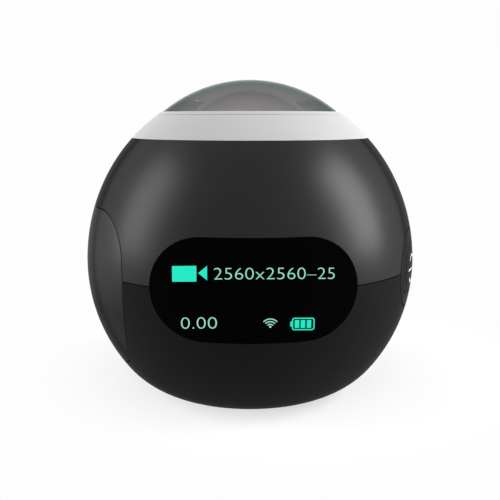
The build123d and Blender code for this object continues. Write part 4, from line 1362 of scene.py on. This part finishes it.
@dataclass
class KeySide:
    """The strip on the right with its three round keys and their white signs."""

    form: BodyForm
    shop: Workshop
    length: float = 32.4
    height: float = 13.6
    thickness: float = 1.0
    gap: float = 0.22
    key_radius: float = 4.2
    hole_radius: float = 4.4
    pitch: float = 9.4
    key_back: float = 22.55
    flange_radius: float = 4.6
    flange_thickness: float = 0.7
    proud: float = 0.02
    sound_hole_radius: float = 0.35
    key_edge: float = 0.15
    power_ring: tuple[float, float] = (2.5, 2.15)
    power_opening: float = 140.0
    power_bar: tuple[float, float] = (2.8, 0.17)
    ring_half: float = 0.15

    @property
    def sound_hole(self) -> Vector:
        """Middle of the microphone's hole."""
        return at(-13.3, self.form.seam - 3.5)

    def build(self) -> None:
        """Model the strip, the keys and their signs."""
        seam = self.form.seam
        outline = stadium(self.length, self.height, self.gap, at(0, seam))
        strip = push_outline("key_strip_skin", outline, Side.KEYS, PRISM_START, self.form.reach)
        combine(strip, self.form.layer(*SKIN_BAND, 0, self.thickness), Cut.KEEP_SHARED)
        outlines = [
            circle(at(place, seam), self.hole_radius) for place in (-self.pitch, 0, self.pitch)
        ]
        outlines.append(circle(self.sound_hole, self.sound_hole_radius, 16))
        for outline in outlines:
            hole = push_outline("hole", outline, Side.KEYS, PRISM_START, CUT_END)
            combine(strip, hole, Cut.AWAY)
        self.shop.deliver(strip, FINISHES["strip"], "strip", stands_for="key_strip")
        for name, place in (("power", -1), ("mode", 0), ("shutter", 1)):
            self._key(f"{name}_key", place * self.pitch)
        self._signs()

    def _key(self, node: str, place: float) -> None:
        """Model one key with its hidden flange.

        Args:
            node: The CAD node that it stands for, which is also its body.
            place: Its middle across the strip.
        """
        middle = at(place, self.form.seam)
        back, flange_front = self.key_back, self.key_back + self.flange_thickness
        outline = circle(middle, self.key_radius)
        key = push_outline(f"{node}_cap", outline, Side.KEYS, back, self.form.reach)
        combine(key, self.form.solid(0, *SKIN_BAND), Cut.KEEP_SHARED)
        round_edges(key, self.key_edge)
        outline = circle(middle, self.flange_radius)
        flange = push_outline("flange", outline, Side.KEYS, back, flange_front)
        combine(key, flange, Cut.JOIN)
        self.shop.deliver(key, FINISHES["strip"], "strip", body=node, stands_for=node)

    def _signs(self) -> None:
        """Print a generic sign on each key."""
        layer = self.form.layer(*SKIN_BAND, -self.proud, SIGN_DEPTH)
        seam = self.form.seam
        signs = [
            (self._power(at(-self.pitch, seam - 0.2)), "power_key"),
            (self._rings(at(0, seam), (1.5, 0.7)), "mode_key"),
            (self._rings(at(self.pitch, seam), (1.7,)), "shutter_key"),
        ]
        for sign, node in signs:
            sign.name = f"{node}_print"
            combine(sign, layer, Cut.KEEP_SHARED, keep_tool=True)
            self.shop.deliver(sign, WHITE_PRINT, "strip", body=node)
        bpy.data.objects.remove(layer)

    def _block(self, outline: list[Vector]) -> bpy.types.Object:
        """A prism of one sign outline, through the strip's skin."""
        return push_outline("sign", outline, Side.KEYS, SIGN_START, self.form.reach)

    def _power(self, middle: Vector) -> bpy.types.Object:
        """The on and off sign, lying on its side: an open ring with a bar."""
        x, z = middle.x, middle.z
        outer, inner = self.power_ring
        turn = self.power_opening
        ring = arc((x, z), outer, -turn, turn, 32) + arc((x, z), inner, turn, -turn, 32)
        length, half = self.power_bar
        bar = [at(x - length, z - half), at(x, z - half), at(x, z + half), at(x - length, z + half)]
        return combine(self._block(ring), self._block(bar), Cut.JOIN)

    def _rings(self, middle: Vector, radii: tuple[float, ...]) -> bpy.types.Object:
        """A sign of fine rings round one middle."""
        sign = None
        for radius in radii:
            band = self._block(circle(middle, radius + self.ring_half))
            combine(band, self._block(circle(middle, radius - self.ring_half)), Cut.AWAY)
            sign = band if sign is None else combine(sign, band, Cut.JOIN)
        return sign


@dataclass
class SideDoor:
    """The pull-off door on the left, with its skirt, ribs and nail notch."""

    form: BodyForm
    door: DoorForm
    shop: Workshop
    slip: float = 0.2
    skirt: float = 1.2
    wall: float = 1.6
    skirt_end: float = 18.05
    notch_radius: float = 1.3
    notch_length: float = 8.0
    rib_spacing: float = 17.0
    rib_thickness: float = 0.8
    rib_height: float = 1.0
    rib_overlap: float = 0.1
    well: float = 2.68
    edge: float = 0.12
    heights: tuple[float, float] = (4.0, 40.0)
    bar_start: float = 10.0
    bar_heights: tuple[float, float] = (6.0, 36.0)

    def build(self) -> None:
        """Model the door."""
        form = self.form
        outer = push_outline(
            "side_door_skin", self.door.outline(self.slip), Side.DOOR, self.skirt_end, form.reach
        )
        combine(outer, form.solid(0, *self.heights), Cut.KEEP_SHARED)
        round_edges(outer, self.edge)
        inside = self.door.outline(self.slip + self.skirt)
        hollow = push_outline("hollow", inside, Side.DOOR, DOOR_START, form.reach)
        combine(hollow, form.solid(self.wall, *self.heights), Cut.KEEP_SHARED)
        well = self.door.outline(self.well)
        ribs = push_outline("ribs", well, Side.DOOR, DOOR_START, form.reach)
        bars = self._bar(-self.rib_spacing / 2)
        combine(bars, self._bar(self.rib_spacing / 2), Cut.JOIN)
        combine(ribs, bars, Cut.KEEP_SHARED)
        combine(ribs, form.solid(self.wall - self.rib_overlap, *self.heights), Cut.KEEP_SHARED)
        combine(ribs, form.solid(self.wall + self.rib_height, *self.heights), Cut.AWAY)
        combine(outer, hollow, Cut.AWAY)
        combine(outer, ribs, Cut.JOIN)
        combine(outer, self._notch(), Cut.AWAY)
        self.shop.deliver(outer, DOOR_SHELL, "shell", body="side_door", stands_for="side_door")

    def _bar(self, place: float) -> bpy.types.Object:
        """An upright slab across the door, one rib thick."""
        half = self.rib_thickness / 2
        left, right = place - half, place + half
        low, high = self.bar_heights
        outline = [at(left, low), at(right, low), at(right, high), at(left, high)]
        return push_outline("bar", outline, Side.DOOR, self.bar_start, CUT_END)

    def _notch(self) -> bpy.types.Object:
        """The upright round cutter of the nail notch at the door's rear edge."""
        bpy.ops.object.select_all(action="DESELECT")
        across = -math.sqrt(self.form.radius**2 - self.door.radius**2)
        bpy.ops.mesh.primitive_cylinder_add(
            vertices=32,
            radius=self.notch_radius * MM,
            depth=self.notch_length * MM,
            location=Vector((across, self.door.radius, self.form.seam)) * MM,
        )
        bpy.ops.object.transform_apply(location=True, rotation=True, scale=True)
        return bpy.context.object


@dataclass
class Base:
    """The rubber pad under the camera."""

    shop: Workshop
    outer: float = 10.3
    inner: float = 5.7
    thickness: float = 0.8
    rings: int = 5
    furrow_depth: float = 0.18

    def build(self) -> None:
        """Model the pad with its fine round ribs."""
        steps = 2 * self.rings + 1
        step = (self.outer - self.inner) / steps
        points = [at(self.inner, self.thickness)]
        for ring in range(steps):
            level = 0.0 if ring % 2 == 0 else self.furrow_depth
            points.append(at(self.inner + ring * step, level))
            points.append(at(self.inner + (ring + 1) * step, level))
        points.append(at(self.outer, self.thickness))
        pad = turn_profile("base_pad_ribbed", points, steps=96)
        self.shop.deliver(pad, FINISHES["black_rubber"], "black_rubber", stands_for="base_pad")


@dataclass
class Inside:
    """The CAD nodes that stay as they are and only get a finish."""

    shop: Workshop

    def build(self) -> None:
        """Dress each shown CAD node by the record's slot."""
        slots = {row["node"]: row["material_slot"] for row in frame["record"]["subparts"]}
        for node, piece in frame["nodes"].items():
            if not piece.hide_render:
                self.shop.dress(piece, FINISHES[slots[node]])
                LOG.info("node %s wears %s", node, slots[node])


@dataclass
class Studio:
    """Pale floor, soft lamps, white surroundings and the camera."""

    floor_size: float = 4000.0
    camera_place: tuple[float, float, float] = (-3.14, -136.1, 48.65)
    camera_turn: tuple[float, float, float] = (80.16, 0.0, -1.35)
    lens: float = 54.61
    sensor: float = 36.0
    shift: float = -0.0007
    light_level: float = 0.38
    white: float = 0.985
    near_white: float = 1.15
    near_share: float = 0.45
    shadow_middle: tuple[float, float, float] = (8.0, 14.0, 0.0)
    shadow_edges: tuple[float, float] = (20.0, 50.0)
    lamp_size: tuple[float, float] = (320.0, 640.0)
    lamp_aim: tuple[float, float, float] = (0.0, 0.0, 28.0)
    lamps: tuple[tuple[str, tuple[float, float, float], float], ...] = (
        ("left_softbox", (-700.0, -60.0, 330.0), 5.8),
        ("right_softbox", (700.0, -85.0, 350.0), 10.2),
    )

    def build(self) -> None:
        """Set up the whole studio."""
        self._floor()
        self._world()
        for name, place, watts in self.lamps:
            self._lamp(name, place, watts)
        self._camera()
        bpy.context.scene.view_settings.view_transform = "Standard"

    def _floor(self) -> None:
        """Lay the pale floor."""
        bpy.ops.object.select_all(action="DESELECT")
        bpy.ops.mesh.primitive_plane_add(size=self.floor_size * MM)
        floor = bpy.context.object
        floor.name = "floor"
        made = bpy.data.materials.new("floor_paper")
        made.use_nodes = True
        tree = made.node_tree
        tree.nodes.clear()
        graph = Graph(tree)
        place = graph.add("ShaderNodeTexCoord").outputs["Object"]
        middle = Vector(self.shadow_middle) * MM
        reach = graph.add("ShaderNodeVectorMath", {0: place, 1: middle}, operation="DISTANCE")
        distance = reach.outputs["Value"]
        near, far = (edge * MM for edge in self.shadow_edges)
        open_share = graph.spread(distance, self.near_share, 1.0, near, far)
        level = graph.spread(distance, self.near_white, self.white, near, far)
        paper = graph.add("ShaderNodeBsdfDiffuse", {"Color": colour(0.8, 0.8, 0.8)})
        glow = graph.add("ShaderNodeEmission", {"Color": colour(1, 1, 1), "Strength": level})
        share = graph.work("MULTIPLY", self._seen(graph), open_share)
        mixed = graph.add(
            "ShaderNodeMixShader", {0: share, 1: paper.outputs[0], 2: glow.outputs[0]}
        )
        graph.add("ShaderNodeOutputMaterial", {0: mixed.outputs[0]})
        floor.data.materials.append(made)

    def _seen(self, graph: Graph) -> Any:
        """One where a ray comes from the camera, a mirror or glass."""
        rays = graph.add("ShaderNodeLightPath").outputs
        both = graph.work("MAXIMUM", rays["Is Camera Ray"], rays["Is Glossy Ray"])
        return graph.work("MAXIMUM", both, rays["Is Transmission Ray"])

    def _world(self) -> None:
        """Surround the studio with white."""
        world = bpy.data.worlds.new("studio")
        world.use_nodes = True
        bpy.context.scene.world = world
        graph = Graph(world.node_tree)
        strength = graph.spread(self._seen(graph), self.light_level, self.white)
        shade = world.node_tree.nodes["Background"]
        graph.feed(shade, {"Color": colour(1, 1, 1), "Strength": strength})

    def _lamp(self, name: str, place: tuple[float, float, float], watts: float) -> None:
        """Hang a soft lamp that faces the object's middle.

        Args:
            name: Name of the lamp.
            place: Its place.
            watts: Its power.
        """
        bpy.ops.object.select_all(action="DESELECT")
        bpy.ops.object.light_add(type="AREA", location=Vector(place) * MM)
        lamp = bpy.context.object
        lamp.name = name
        lamp.data.shape = "RECTANGLE"
        lamp.data.size, lamp.data.size_y = (side * MM for side in self.lamp_size)
        lamp.data.energy = watts
        aim = Vector(self.lamp_aim) - Vector(place)
        lamp.rotation_euler = aim.to_track_quat("-Z", "Y").to_euler()

    def _camera(self) -> None:
        """Place the camera at the photograph's viewing angle."""
        bpy.ops.object.select_all(action="DESELECT")
        turn = [math.radians(angle) for angle in self.camera_turn]
        bpy.ops.object.camera_add(location=Vector(self.camera_place) * MM, rotation=turn)
        camera = bpy.context.object
        camera.name = "viewpoint"
        camera.data.sensor_width = self.sensor
        camera.data.lens = self.lens
        camera.data.shift_x = self.shift
        camera.data.clip_start = 0.01
        bpy.context.scene.camera = camera


def main() -> None:
    """Build the camera's looks, sub-assembly by sub-assembly."""
    logging.basicConfig(level=logging.INFO, format="%(message)s")
    form = BodyForm()
    door = DoorForm(form)
    shop = Workshop()
    Shells(form, door, shop).build()
    TopOptics(form, shop).build()
    FrontDisplay(form, shop).build()
    KeySide(form, shop).build()
    SideDoor(form, door, shop).build()
    Base(shop).build()
    Inside(shop).build()
    Studio().build()


if __name__ == "__main__":
    main()
